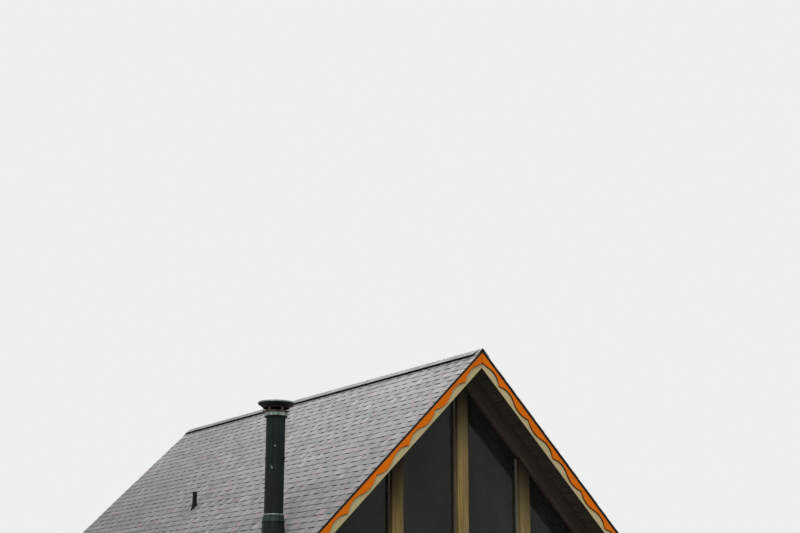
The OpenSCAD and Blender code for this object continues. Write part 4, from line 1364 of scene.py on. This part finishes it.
for side, half in ((LEFT, "left"), (RIGHT, "right")):
    teeth, mats = Pile(), Pile()
    for course in range(courses):
        butt = shingle_end - course * EXPOSURE - BUTT_GAP
        top = max(butt - EXPOSURE, mitre(BUTT))
        lower = (BUTT - LAMINATE, BUTT - LAMINATE - MAT_STEP)
        ends = wandering(shingle_front, shingle_back, (SHINGLE, SHINGLE))
        for left, right in zip(ends, ends[1:]):
            y0 = max(left + JOINT, shingle_front + END_BACK)
            y1 = min(right - JOINT, shingle_back - END_BACK)
            if y1 > y0:
                slab(mats, side, butt - MAT_BACK, top, y0, y1, lower, (UNDER, UNDER))
        edges = wandering(shingle_front, shingle_back, TOOTH, TOOTH_GAP)
        upper = (BUTT, BUTT - LAMINATE - HEAD_DOWN)
        bonded = (lower[0] - BOND, lower[1] - BOND)
        for left, right in zip(edges[1::2], edges[2::2]):
            y0, y1 = max(left, shingle_front), min(right, shingle_back)
            if y1 > y0:
                slab(teeth, side, butt, max(top - TUCK, mitre(BUTT)), y0, y1, upper, bonded)
    seat(make(teeth, "shingle_teeth_" + half, [stone, asphalt_edge]), "shingle", "shingles_" + half)
    seat(make(mats, "shingle_mats_" + half, [stone_below, asphalt_edge]), "shingle")
print(courses, "courses a slope")

# %% [markdown]
# ## Ridge vent
#
# A vent runs along the ridge and lets warm air out of the roof. It is a stiff plastic strip with open
# ribs at its sides. Seen from below it is a black line under the pale caps. The ribs are real here,
# because a painted black line would shine where the lamp grazes it. They are short bars between two
# sheets, all laid by one function that knows the slope.

# %% Ridge vent
CROWN = BUTT + 0.001  # height of the caps' underside over the peak of the roof
CAP_EDGE = 0.082  # height of the caps' underside at their lower edge
CAP_REACH = 0.110
CAP_RISE = (CAP_EDGE - CROWN) / (CAP_REACH - mitre(CROWN))
VENT_REACH = 0.100
RIB_STEP = 0.022
RIB = 0.003
LOUVRE = 0.014  # depth of the open ribs at the sides of the vent
SHEET = 0.003
END_WALL = 0.004
MIDDLE = -0.040  # where the two halves of the vent meet under the crest
RIB_IN = 0.001  # how far the ribs stay behind the sheets


def under_caps(u):
    return CROWN + (u - mitre(CROWN)) * CAP_RISE


def lay(pile, side, y0, y1, u0, u1, low, high):
    """A bar between two distances down the slope. low and high are its heights at those distances."""
    outline = [(u0, low[0]), (u1, low[1]), (u1, high[1]), (u0, high[0])]
    pile.prism([on_slope(side, u, v, y0) for u, v in outline],
               [on_slope(side, u, v, y1) for u, v in outline])


vent_front, vent_back = (corner.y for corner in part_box("ridge_vent"))
inner, outer = VENT_REACH - LOUVRE, VENT_REACH - RIB_IN
bed = (BUTT + CLEAR, BUTT + CLEAR)
bed_top = (BUTT + SHEET, BUTT + SHEET)
lid_top = (under_caps(inner) - CLEAR, under_caps(VENT_REACH) - CLEAR)
lid_low = (under_caps(inner) - SHEET, under_caps(outer) - SHEET)
rib_count = int((vent_back - vent_front) / RIB_STEP)
rib_ys = [vent_front + 2 * RIB + i * RIB_STEP for i in range(rib_count)]
walls = [(vent_front, vent_front + END_WALL), (vent_back - END_WALL, vent_back)]
vent = Pile()
for side in (LEFT, RIGHT):
    whole = (vent, side, vent_front, vent_back)
    lay(*whole, MIDDLE, inner, bed, (under_caps(MIDDLE) - CLEAR, lid_top[0]))
    lay(*whole, inner, VENT_REACH, lid_low, lid_top)
    lay(*whole, inner, VENT_REACH, bed, bed_top)
    for y0, y1 in walls + [(y, y + RIB) for y in rib_ys]:
        lay(vent, side, y0, y1, inner, outer, bed_top, lid_low)
seat(make(vent, "ridge_vent_strip", [vent_plastic]), "vent_plastic", "ridge_vent")

# %% [markdown]
# ## Ridge caps
#
# Cap shingles are bent over the vent at a flatter pitch than the roof's, and at the two ends of the
# ridge they lie straight on the shingles. Each is one bent slab whose butt lies on the tail of the one
# before it. A single long strip with painted joints would be simpler, but the steps at the joints show
# against the light along the ridge.

# %% Ridge caps
CAP_HEIGHT = 0.006  # of a cap's upper face over the vent, at its butt
CAP_BUTT = 0.0042  # thickness of a cap at its butt
CAP_TAIL = 0.0014
END_CAP = 0.0045  # thickness of the caps at the two ends of the ridge
CAP_EXPOSURE = 0.143
CAP_TUCK = 0.02
CAP_TAPER = 0.003  # how much less a cap reaches at its tail
CAP_UNEVEN = 0.003  # how much a cap's reach may fall short
CAP_SAG = 0.0008  # how much lower a butt may lie
CAP_LIES = 0.0002  # how far a butt lies over the tail below it
BEND = 0.004  # half width of the worn crest
END_LIFTS = (CAP_HEIGHT - 0.0002, CAP_HEIGHT - 0.001)  # of an end cap over the shingles
END_TAPER = 0.002
END_GAP = 0.001  # between an end cap and the vent


def bent_strip(pile, y0, y1, reaches, lifts, thicknesses, base, rise):
    """A slab bent over the ridge, laid on a plane that is at height base over the ridge and gains rise
    for each step down the slope. The pairs are the values at its first end and at its last."""
    def point(side, u, lift, y):
        return on_slope(side, u, base + (u - mitre(base)) * rise + lift, y)

    def crest(lift, beside):
        beyond = beside / math.cos(PITCH) - lift * math.tan(PITCH)
        return mitre(base) + beyond / (1 + rise * math.tan(PITCH))

    def section(y, reach, lift, thickness):
        over = [(LEFT, reach, lift), (LEFT, crest(lift, BEND), lift),
                (RIGHT, crest(lift, BEND), lift), (RIGHT, reach, lift)]
        low = lift - thickness
        under = [(RIGHT, reach, low), (RIGHT, crest(low, 0), low), (LEFT, reach, low)]
        return [point(side, u, v, y) for side, u, v in over + under]

    near, far = (section(*end) for end in zip((y0, y1), reaches, lifts, thicknesses))
    pile.prism(near, far, sides=[STONE_FACE] * 3 + [ASPHALT_FACE] * 4, ends=ASPHALT_FACE)


caps = Pile()
cap_count = round((vent_back - vent_front) / CAP_EXPOSURE)
cap_step = (vent_back - vent_front) / cap_count
for i in range(cap_count):
    y = vent_front + i * cap_step
    reach = CAP_REACH - random.uniform(0, CAP_UNEVEN)
    lift = CAP_HEIGHT - random.uniform(0, CAP_SAG)
    last = min(y + cap_step + CAP_TUCK, vent_back)
    bent_strip(caps, y, last, (reach, reach - CAP_TAPER), (lift, CAP_TAIL + CAP_LIES),
               (CAP_BUTT, CAP_TAIL), CROWN, CAP_RISE)
for y0, y1 in ((shingle_front, vent_front - END_GAP), (shingle_back, vent_back + END_GAP)):
    bent_strip(caps, y0, y1, (CAP_REACH, CAP_REACH - END_TAPER), END_LIFTS, (END_CAP, END_CAP), BUTT, 0)
seat(make(caps, "ridge_cap_shingles", [cap_stone, asphalt_edge]), "shingle", "ridge_caps")
print(cap_count, "caps over the vent")

# %% [markdown]
# ## Chimney pipe
#
# The flue is a stack of factory-made round sections, which twist together under narrow locking bands.
# It is round, so it is turned on a lathe: a profile of radius and height goes round an axis. A stretched
# cylinder would give the pipe, but not the folded edges of the bands and the beads rolled beside them.

# %% Chimney pipe
FLUE = 0.100  # radius of the bore
TOP_SECTION = 0.566  # from the top of the pipe down to the middle of the first band
SECTION = 0.914  # from band to band
BAND_HALF = 0.019
BAND_EASED = 0.0012
HOLLOW, HOLLOW_HALF = 0.0010, 0.004  # a band is drawn in a little along its middle
BEAD_AWAY = 0.012  # from a band's edge to the rolled bead beside it
ROLLED = (0.004, 0.0012)  # half the height of a rolled bead, and how far it rises

pipe_low, pipe_high = (corner.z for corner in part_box("chimney_pipe"))
first_band = pipe_high - TOP_SECTION
second_band = first_band - SECTION
pipe_place = Matrix.Translation(Vector((*pipe_axis, 0)))


def bead(radius, height, half, out, steps=6):
    """A rounded ridge in a profile, that rises from radius by out."""
    return [(radius + out * math.sin(math.pi * i / steps), height - half * math.cos(math.pi * i / steps))
            for i in range(steps + 1)]


pipe = Pile()
outside = []
for band in (second_band, first_band):
    face, low, high = PIPE + BAND_OUT, band - BAND_HALF, band + BAND_HALF
    outside += bead(PIPE, low - BEAD_AWAY, *ROLLED)
    outside += [(PIPE, low), (face - BAND_EASED, low), (face, low + BAND_EASED),
                (face - HOLLOW, band - HOLLOW_HALF), (face - HOLLOW, band + HOLLOW_HALF),
                (face, high - BAND_EASED), (face - BAND_EASED, high), (PIPE, high)]
    outside += bead(PIPE, high + BEAD_AWAY, *ROLLED)
profile = [(FLUE, pipe_low), (PIPE, pipe_low), *outside, (PIPE, pipe_high), (FLUE, pipe_high)]
turned(pipe, pipe_place, profile)
print("pipe from", round(pipe_low, 3), "to", round(pipe_high, 3), "m, bands included")

# %% [markdown]
# ## Lock seam
#
# Each section of the pipe is rolled from a flat sheet, whose two edges are folded together in a narrow
# raised seam. A line in the finish would throw no shadow, and a straight bar would leave the round. A
# short arc of one more turned profile follows it, and stops short of the bands.

# %% Lock seam
LATCH_TURN = math.radians(-38)  # the latches stand at the right edge of the pipe, seen from the camera
SEAM_TURN = LATCH_TURN + math.pi / 2  # the seam is at the back
SEAM_ARC = 0.07  # radians round the pipe
SEAM_DEEP, SEAM_UP = 0.001, 0.0014  # into the pipe and out of it
SEAM_EASED = 0.002
SEAM_END = 0.04  # from the end of a seam to the middle of the band
sections = ((pipe_low, second_band - SEAM_END), (second_band + SEAM_END, first_band - SEAM_END),
            (first_band + SEAM_END, pipe_high))
for z0, z1 in sections:
    strip = [(PIPE - SEAM_DEEP, z0), (PIPE + SEAM_UP, z0 + SEAM_EASED),
             (PIPE + SEAM_UP, z1 - SEAM_EASED), (PIPE - SEAM_DEEP, z1)]
    turned(pipe, pipe_place, strip, steps=2, arc=SEAM_ARC, start=SEAM_TURN)
print(len(sections), "sections, each with a seam", round(SEAM_ARC * PIPE, 3), "m wide")

# %% [markdown]
# ## Latches and rivets
#
# Each band is pulled tight by a latch and held by four rivets. They could be boxes and balls that are
# turned into place by hand. `on_pipe` gives a frame on the side of the pipe instead, so each piece is
# built flat and carried there in one step.

# %% Latches and rivets of the bands
LATCH_HALF = (0.015, 0.011)
LATCH_DEEP, LATCH_OUT = 0.001, 0.006  # into the band and out of it
LATCH_TAPER = 0.8  # how wide the face of a latch is, against its foot
BAND_RIVETS = 4
BAND_RIVET = (0.004, 0.002)  # radius and height


def on_pipe(turn, radius, height):
    """A frame on the side of the chimney: X goes round, Y is up and Z points out."""
    out = Vector((math.cos(turn), math.sin(turn), 0))
    place = Vector((*pipe_axis, height)) + out * radius
    round_way = Vector((-math.sin(turn), math.cos(turn), 0))
    return Matrix((
        (round_way.x, 0, out.x, place.x), (round_way.y, 0, out.y, place.y),
        (0, 1, 0, place.z), (0, 0, 0, 1)))


for band in (first_band, second_band):
    latch = on_pipe(LATCH_TURN, PIPE + BAND_OUT - LATCH_DEEP, band)
    corners = [(LATCH_HALF[0] * a, LATCH_HALF[1] * b) for a, b in ((-1, -1), (1, -1), (1, 1), (-1, 1))]
    pipe.prism([latch @ Vector((x, y, 0)) for x, y in corners],
               [latch @ Vector((x * LATCH_TAPER, y * LATCH_TAPER, LATCH_OUT)) for x, y in corners])
    for i in range(BAND_RIVETS):
        turn = LATCH_TURN + math.pi / BAND_RIVETS + i * math.tau / BAND_RIVETS
        button(pipe, on_pipe(turn, PIPE + BAND_OUT, band), *BAND_RIVET)
seat(make(pipe, "flue_pipe", [chimney_metal]), "chimney_metal", "chimney_pipe")

# %% [markdown]
# ## Paint chips on the pipe
#
# A few pale chips show on the front of the pipe. They are thin flakes with an uneven rim, laid a hair
# over the metal. A mask in the pipe's material would do as well, but a flake can be seen and moved in
# the viewport.

# %% Paint chips
FACE_CAMERA = math.atan2(CAMERA_PLACE.y - pipe_axis[1], CAMERA_PLACE.x - pipe_axis[0])
# Turn from FACE_CAMERA, height over the first band, half length, half width and lean of each chip
CHIPS = ((-0.02, 0.165, 0.011, 0.010, 0.0), (-0.30, -0.132, 0.013, 0.009, 0.8),
         (-0.38, -0.110, 0.009, 0.006, 0.5))
CHIP_SIDES = 12
CHIP_REACH = (0.75, 1.1)  # the rim wanders between these shares of the chip's size
CHIP_TAPER = 0.9
CHIP_DEEP, CHIP_OUT = 0.0002, 0.0006  # into the metal and out of it

chip_paint = sheet_metal("chip_paint", paint(168, 176, 170), paint(140, 148, 142))
chips = Pile()
for turn, height, length, width, lean in CHIPS:
    spot = on_pipe(FACE_CAMERA + turn, PIPE, first_band + height)
    near, far = [], []
    for i in range(CHIP_SIDES):
        a = math.tau * i / CHIP_SIDES
        reach = random.uniform(*CHIP_REACH)
        x, y = math.cos(a) * width * reach, math.sin(a) * length * reach
        x, y = x * math.cos(lean) - y * math.sin(lean), x * math.sin(lean) + y * math.cos(lean)
        sag = PIPE - math.sqrt(PIPE * PIPE - x * x)
        near.append(spot @ Vector((x, y, -sag - CHIP_DEEP)))
        far.append(spot @ Vector((x * CHIP_TAPER, y * CHIP_TAPER, CHIP_OUT - sag)))
    chips.prism(near, far)
seat(make(chips, "paint_chips", [chip_paint]), "chimney_metal")

# %% [markdown]
# ## Collar and dish of the cap
#
# The cap keeps rain out of the flue. Its lower half is a collar over the pipe, with a worn green band,
# and a dish that flares out of it. The heights are measured up from the top of the pipe. Each ring of
# the profile keeps its own finish, so that one turned solid can change from worn paint to rust. Three
# objects would need three exact fits.

# %% Collar and dish of the cap
COLLAR, COLLAR_HIGH = 0.157, 0.062  # radius and height
WORN = COLLAR - 0.0015  # radius of the worn band, which lies a little deeper
WORN_LOW, WORN_HIGH = 0.016, 0.061
GAP, GAP_LOW, GAP_TOP = 0.182, 0.084, 0.124  # radius of the open gap, its bottom and its top

cap = Pile()
at_cap = Matrix.Translation(Vector((*pipe_axis, pipe_high)))
DARK, GREEN, RUST = 0, 1, 2
collar_profile = [
    (FLUE, 0.0), (COLLAR - 0.002, 0.0), (COLLAR, 0.002), *bead(COLLAR, 0.014, 0.005, 0.0),
    (COLLAR, 0.020), (WORN, 0.022), (WORN, COLLAR_HIGH - 0.010),
    (COLLAR, COLLAR_HIGH - 0.008), (COLLAR, COLLAR_HIGH - 0.002), (COLLAR - 0.002, COLLAR_HIGH),
    (GAP - 0.010, GAP_LOW - 0.010), (GAP - 0.002, GAP_LOW - 0.006), (GAP, GAP_LOW - 0.003),
    (GAP - 0.002, GAP_LOW), (GAP - 0.005, GAP_LOW - 0.002), (COLLAR - 0.006, COLLAR_HIGH),
    (FLUE, COLLAR_HIGH)]
collar_finish = []
for (_, low), (radius, high) in zip(collar_profile, collar_profile[1:] + collar_profile[:1]):
    middle = (low + high) / 2
    on_collar = radius > COLLAR - 0.003 and WORN_LOW < middle < WORN_HIGH
    collar_finish.append(GREEN if on_collar else RUST if middle > COLLAR_HIGH else DARK)
turned(cap, at_cap, collar_profile, collar_finish)
print("collar", 2 * COLLAR, "m across, dish", 2 * GAP)

# %% [markdown]
# ## Lid
#
# The lid is a flat cone over the gap where the smoke gets out, with its rim folded down and then in
# under it. The top of the rim, and the top of the lid with it, take the collar's pale green as a painted
# highlight. It is one more turned profile, drawn from the middle of the underside outwards and back over
# the top. A flattened ball would have no rim.

# %% Lid
RIM_LOW, RIM_TOP, LID_TOP = 0.182, 0.208, 0.222  # heights, as for the collar
RIM_HIGHLIGHT = 0.012  # how far the painted highlight reaches down from the top of the rim
LID = round_of("chimney_cap")[1]

lid_profile = [
    (0.0, RIM_LOW + 0.004), (LID - 0.010, RIM_LOW + 0.004), (GAP - 0.006, GAP_TOP + 0.001),
    (GAP - 0.004, GAP_TOP - 0.001), (GAP - 0.001, GAP_TOP), (GAP, GAP_TOP + 0.004),
    (GAP + 0.002, GAP_TOP + 0.009), (LID - 0.006, RIM_LOW - 0.002), (LID - 0.001, RIM_LOW - 0.001),
    (LID, RIM_LOW + 0.002), (LID, RIM_TOP - 0.017), (LID, RIM_TOP - 0.006),
    (LID - 0.001, RIM_TOP - 0.001), (LID - 0.004, RIM_TOP + 0.001), (LID * 0.75, RIM_TOP + 0.0068),
    (LID * 0.5, RIM_TOP + 0.0107), (LID * 0.25, RIM_TOP + 0.0132), (0.0, LID_TOP)]
lid_finish = []
for (_, low), (radius, high) in zip(lid_profile, lid_profile[1:] + lid_profile[:1]):
    middle = (low + high) / 2
    rusty = middle < GAP_TOP + 0.002
    # The top of the rim and of the lid take the pale green as a painted highlight
    lid_finish.append(GREEN if middle > RIM_TOP - RIM_HIGHLIGHT else RUST if rusty else DARK)
turned(cap, at_cap, lid_profile, lid_finish)
print("lid", round(2 * LID, 3), "m across")

# %% [markdown]
# ## Straps and rivets of the cap
#
# Six rusty straps hold the lid over the dish, with a rivet at each end. A strap is a short arc of a
# turned profile, so that it follows the round. A straight bar would stand off the dish in its middle.

# %% Straps and rivets of the cap
STRAPS = 6
STRAP = 0.030  # width of a strap
STRAP_STEPS = 4
STRAP_IN, STRAP_FACE = GAP - 0.0062, GAP - 0.0032  # radii of its two faces
STRAP_LAP = 0.004  # how far it reaches past the gap
STRAP_RIVET = (0.0035, 0.002)  # radius and height
STRAP_RIVET_AWAY = 0.007  # from the end of the gap
COLLAR_RIVETS = 8
COLLAR_RIVET = (0.004, 0.0022)
COLLAR_RIVET_HIGH = 0.034

for i in range(STRAPS):
    turn = (i + 0.5) * math.tau / STRAPS
    width = STRAP / GAP
    strap = [(STRAP_IN, GAP_LOW - STRAP_LAP), (STRAP_FACE, GAP_LOW - STRAP_LAP),
             (STRAP_FACE, GAP_TOP + STRAP_LAP), (STRAP_IN, GAP_TOP + STRAP_LAP)]
    turned(cap, at_cap, strap, RUST, steps=STRAP_STEPS, arc=width, start=turn - width / 2)
    for height in (GAP_LOW + STRAP_RIVET_AWAY, GAP_TOP - STRAP_RIVET_AWAY):
        button(cap, on_pipe(turn, STRAP_FACE, pipe_high + height), *STRAP_RIVET, DARK)
for i in range(COLLAR_RIVETS):
    rivet = on_pipe(i * math.tau / COLLAR_RIVETS, WORN, pipe_high + COLLAR_RIVET_HIGH)
    button(cap, rivet, *COLLAR_RIVET, DARK)
seat(make(cap, "flue_cap", [cap_metal, cap_green, cap_rust]), "cap_metal", "chimney_cap")

# %% [markdown]
# ## Storm collar
#
# Rain that runs down the pipe is thrown off by a flared collar with a bead of sealant on top. It could
# be a plain cone, but its lip is what catches the light, so it is turned from a full profile. Its bead,
# its sheet and its folded lip each have a finish of their own, and the bead's pale green is a painted
# highlight along the top edge.

# %% Storm collar
storm_low, storm_high = (corner.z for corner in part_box("storm_collar"))
storm_reach = round_of("storm_collar")[1]
SHEET_FACE, LIP_FACE, BEAD_FACE = 0, 1, 2
CLAMP_OUT = 0.012  # from the pipe's side to the clamp's two bolts
CLAMP_DOWN = 0.02  # from the top of the collar to the middle between them
CLAMP_HALF = 0.012  # from that middle to a bolt
CLAMP_BOLT = (0.005, 0.004)  # radius and height

storm = Pile()
# The bead on top is pale green: a painted highlight along the collar's top edge
turned(storm, pipe_place, [
    (PIPE, storm_high), (PIPE, storm_high - 0.006), (storm_reach - 0.004, storm_low + 0.004),
    (storm_reach - 0.0035, storm_low), (storm_reach, storm_low), (storm_reach, storm_low + 0.006),
    (storm_reach - 0.001, storm_low + 0.008), (PIPE + 0.008, storm_high - 0.012),
    (PIPE + 0.0085, storm_high - 0.007), (PIPE + 0.007, storm_high - 0.003), (PIPE + 0.003, storm_high)],
    [SHEET_FACE] * 3 + [LIP_FACE] * 3 + [SHEET_FACE] + [BEAD_FACE] * 4)
clamp = on_pipe(LATCH_TURN, PIPE + CLAMP_OUT, storm_high - CLAMP_DOWN)
for height in (-CLAMP_HALF, CLAMP_HALF):
    button(storm, clamp @ Matrix.Translation((0, height, 0)), *CLAMP_BOLT)
storm_piece = make(storm, "rain_collar", [collar_metal, drip_metal, cap_green])
seat(storm_piece, "flashing_metal", "storm_collar")

# %% [markdown]
# ## A cone that ends on the roof
#
# Under the collar, a cone is soldered to a plate on the shingles. It stands upright and is cut off by
# the slope, so its side is longest towards the eaves. The cut could be left to a boolean, but then the
# plate wouldn't know its hole. Here the cone is a rule first: how far its side falls before it meets
# the roof, in any direction. The rule also gives the oval that the cone leaves on the roof.

# %% A cone that ends on the roof
HOLE_IN = 0.002  # how far the hole of a plate lies inside the cone's foot


def roof_drop(x, v):
    """Height of the plane v over the planks' underside, on the left slope."""
    return ridge_z - abs(x) * math.tan(PITCH) + v / math.cos(PITCH)


class RoofCone:
    """An upright cone that widens downwards and ends on the left slope, at height v."""

    def __init__(self, axis, top_z, top_radius, slope, v):
        self.axis, self.top_z, self.top_radius = axis, top_z, top_radius
        self.slope, self.v = slope, v

    def fall(self, toward):
        """How far the cone's side falls before it meets the roof. toward is the X of its direction."""
        height = self.top_z - roof_drop(self.axis[0], self.v)
        steepness = toward * math.tan(PITCH)
        return (height - self.top_radius * steepness) / (1 + self.slope * steepness)

    def foot(self, toward):
        return self.top_radius + self.slope * self.fall(toward)

    def hole(self):
        """The oval under the cone: its middle down the slope and its two half sizes."""
        below, beside, above = (self.foot(toward) for toward in (-1, 0, 1))
        middle = crossing(-self.axis[0], self.v) + (below - above) / 2 / math.cos(PITCH)
        return middle, (below + above) / 2 / math.cos(PITCH) - HOLE_IN, beside - HOLE_IN


print("the roof is", round(roof_drop(pipe_axis[0], BUTT), 3), "m high at the chimney")

# %% [markdown]
# ## Sheet of a cone
#
# The cone is a thin sheet whose foot is turned out over the plate. It isn't a lathe form, because its
# columns are of different lengths. Each column of points is placed by the rule, from the top down to
# the roof, and the sheet is closed between an outer and an inner set of columns. A boolean of two turned
# cones with the roof would give the same form, but with a far rougher mesh.

# %% Sheet of a cone
CONE_RINGS = 7
OFF_PLATE = 0.0006  # height of the turned-out foot over the plane that the cone ends on


def cone_sheet(pile, cone, thickness, turned_out, steps=ROUND_STEPS):
    """Adds the cone's sheet. turned_out is how far its foot spreads over the plate."""
    outer, inner = [], []
    for i in range(steps):
        turn = math.tau * i / steps
        way = Vector((math.cos(turn), math.sin(turn), 0))
        column = []
        for j in range(CONE_RINGS + 1):
            down = cone.fall(way.x) * j / CONE_RINGS
            middle = Vector((*cone.axis, cone.top_z - down))
            column.append(middle + way * (cone.top_radius + cone.slope * down))
        last = cone.foot(way.x) + turned_out
        x = cone.axis[0] + way.x * last
        column.append(Vector((x, cone.axis[1] + way.y * last, roof_drop(x, cone.v) + OFF_PLATE)))
        outer.append(column)
        inner.append([point - way * thickness for point in column])
    first, height = len(pile.points), CONE_RINGS + 2
    for column in outer + inner:
        pile.points += column
    for i in range(steps):
        a, b = first + i * height, first + (i + 1) % steps * height
        c, d = a + steps * height, b + steps * height
        for j in range(height - 1):
            pile.face((a + j, b + j, b + j + 1, a + j + 1), 0, PLAIN_TINT)
            pile.face((c + j, c + j + 1, d + j + 1, d + j), 0, PLAIN_TINT)
        pile.face((a, c, d, b), 0, PLAIN_TINT)
        last = height - 1
        pile.face((a + last, b + last, d + last, c + last), 0, PLAIN_TINT)


print("a cone's sheet has", CONE_RINGS, "rings between its top and the roof")

# %% [markdown]
# ## Plate under a cone
#
# The plate lies on the shingles and has an oval hole under the cone. It is a skin over five rings: round
# at the hole, and almost square at the rim. A superellipse gives both from one formula, by its power. A
# flat sheet with a boolean hole would have no such even faces.

# %% Plate under a cone
PLATE = 0.003
PLATE_SHIFT = 0.100  # a plate reaches this much further down the roof than up it
ROUND, SQUARE = 2, 24  # powers of an oval: 2 is a true one, and a high one has square corners
EASING = 0.002


def slope_sheet(pile, cone, length, width):
    """A plate on the left slope under a cone, its corners rounded and its edges turned down."""
    def ring(u_mid, reach_u, reach_y, power, level):
        points = []
        for i in range(ROUND_STEPS):
            turn = math.tau * i / ROUND_STEPS
            c, s = math.cos(turn), math.sin(turn)
            flat = (abs(c) ** power + abs(s) ** power) ** (-1 / power)
            u, y = u_mid + reach_u * c * flat, cone.axis[1] + reach_y * s * flat
            points.append(on_slope(LEFT, u, level, y))
        return points
    plate_mid = crossing(-cone.axis[0], BUTT) + PLATE_SHIFT
    skin(pile, [ring(*cone.hole(), ROUND, BUTT), ring(*cone.hole(), ROUND, BUTT + PLATE),
                ring(plate_mid, length / 2 - EASING, width / 2 - EASING, SQUARE, BUTT + PLATE),
                ring(plate_mid, length / 2, width / 2, SQUARE, BUTT + PLATE / 2),
                ring(plate_mid, length / 2, width / 2, SQUARE, BUTT)], closed=True)
    return plate_mid


print("plates are", PLATE, "m thick")

# %% [markdown]
# ## Chimney flashing
#
# The flashing is the cone and the plate together, nailed at its edges. The plate reaches further down
# the roof than up it, because that is where the water goes. With the functions above it is a few lines,
# and it meets the collar because it takes its sizes from it. Modelled by eye, it would leave a gap.

# %% Chimney flashing
CONE_TOP_RADIUS = storm_reach - 0.0088
CONE_SLOPE = 0.091  # how much the radius gains for each metre down
CONE_SHEET = (0.002, 0.012)  # thickness, and how far the foot is turned out
FLASHING_SIDE = 0.62
FLASHING_NAILS = (-0.29, 0.29)  # along the slope from the middle of the plate
FLASHING_NAIL_STEP = 0.135
FLASHING_NAIL = (0.006, 0.0018)  # radius and height of its head
ROOF_NORMAL = on_slope(LEFT, 0, 1, 0) - on_slope(LEFT, 0, 0, 0)

flashing = Pile()
flashing_cone = RoofCone(pipe_axis, storm_low, CONE_TOP_RADIUS, CONE_SLOPE, BUTT + PLATE)
cone_sheet(flashing, flashing_cone, *CONE_SHEET)
flashing_mid = slope_sheet(flashing, flashing_cone, FLASHING_SIDE, FLASHING_SIDE)
for i in range(-2, 3):
    for along in FLASHING_NAILS:
        nail_y = pipe_axis[1] + i * FLASHING_NAIL_STEP
        at_nail = on_slope(LEFT, flashing_mid + along, BUTT + PLATE, nail_y)
        button(flashing, facing(at_nail, ROOF_NORMAL), *FLASHING_NAIL)
seat(make(flashing, "roof_flashing", [flashing_metal]), "flashing_metal", "chimney_flashing")

# %% [markdown]
# ## Vent pipe
#
# The short pipe near the back airs the drains. It is plain grey-black plastic. A solid rod would show
# from above, so it is a turned tube whose wall can be seen at its open top, with eased edges.

# %% Vent pipe
WALL = 0.005
PIPE_EASED, BORE_EASED = 0.0015, 0.001
STACK_STEPS = 64
stack_low, stack_high = (corner.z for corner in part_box("vent_pipe"))
stack = Pile()
turned(stack, Matrix.Translation(Vector((*stack_axis, 0))), [
    (stack_radius - WALL, stack_low), (stack_radius, stack_low), (stack_radius, stack_high - PIPE_EASED),
    (stack_radius - PIPE_EASED, stack_high), (stack_radius - WALL + BORE_EASED, stack_high),
    (stack_radius - WALL, stack_high - BORE_EASED)], steps=STACK_STEPS)
seat(make(stack, "drain_vent", [pipe_plastic]), "pipe_plastic", "vent_pipe")

# %% [markdown]
# ## Boot of the vent pipe
#
# A boot on a thin plate seals the vent pipe to the shingles, with a rubber lip that grips the pipe. It
# could be one lofted shape, but it is the flashing at a smaller size, so it reuses the sloped cone and
# the plate, and only the lip is turned anew.

# %% Boot of the vent pipe
BOOT_SLOPE = 0.20
BOOT_SHEET = (0.003, 0.005)  # thickness, and how far the foot is turned out
BOOT_PLATE = (0.27, 0.23)  # along the slope and across it
RUBBER = 1  # the boot's second finish

boot_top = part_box("vent_boot")[1].z
boot, boot_plate = Pile(), Pile()
boot_cone = RoofCone(stack_axis, boot_top - 0.002, stack_radius + 0.003, BOOT_SLOPE, BUTT + PLATE)
cone_sheet(boot, boot_cone, *BOOT_SHEET, steps=STACK_STEPS)
turned(boot, Matrix.Translation(Vector((*stack_axis, boot_top))), [
    (stack_radius, -0.010), (stack_radius + 0.003, -0.012), (stack_radius + 0.006, -0.006),
    (stack_radius + 0.006, 0.001), (stack_radius + 0.003, 0.004), (stack_radius, 0.002)],
    RUBBER, steps=STACK_STEPS)
slope_sheet(boot_plate, boot_cone, *BOOT_PLATE)
seat(make(boot, "drain_vent_boot", [pipe_plastic, rubber]), "pipe_plastic", "vent_boot")
seat(make(boot_plate, "drain_vent_plate", [plate_metal]), "pipe_plastic")
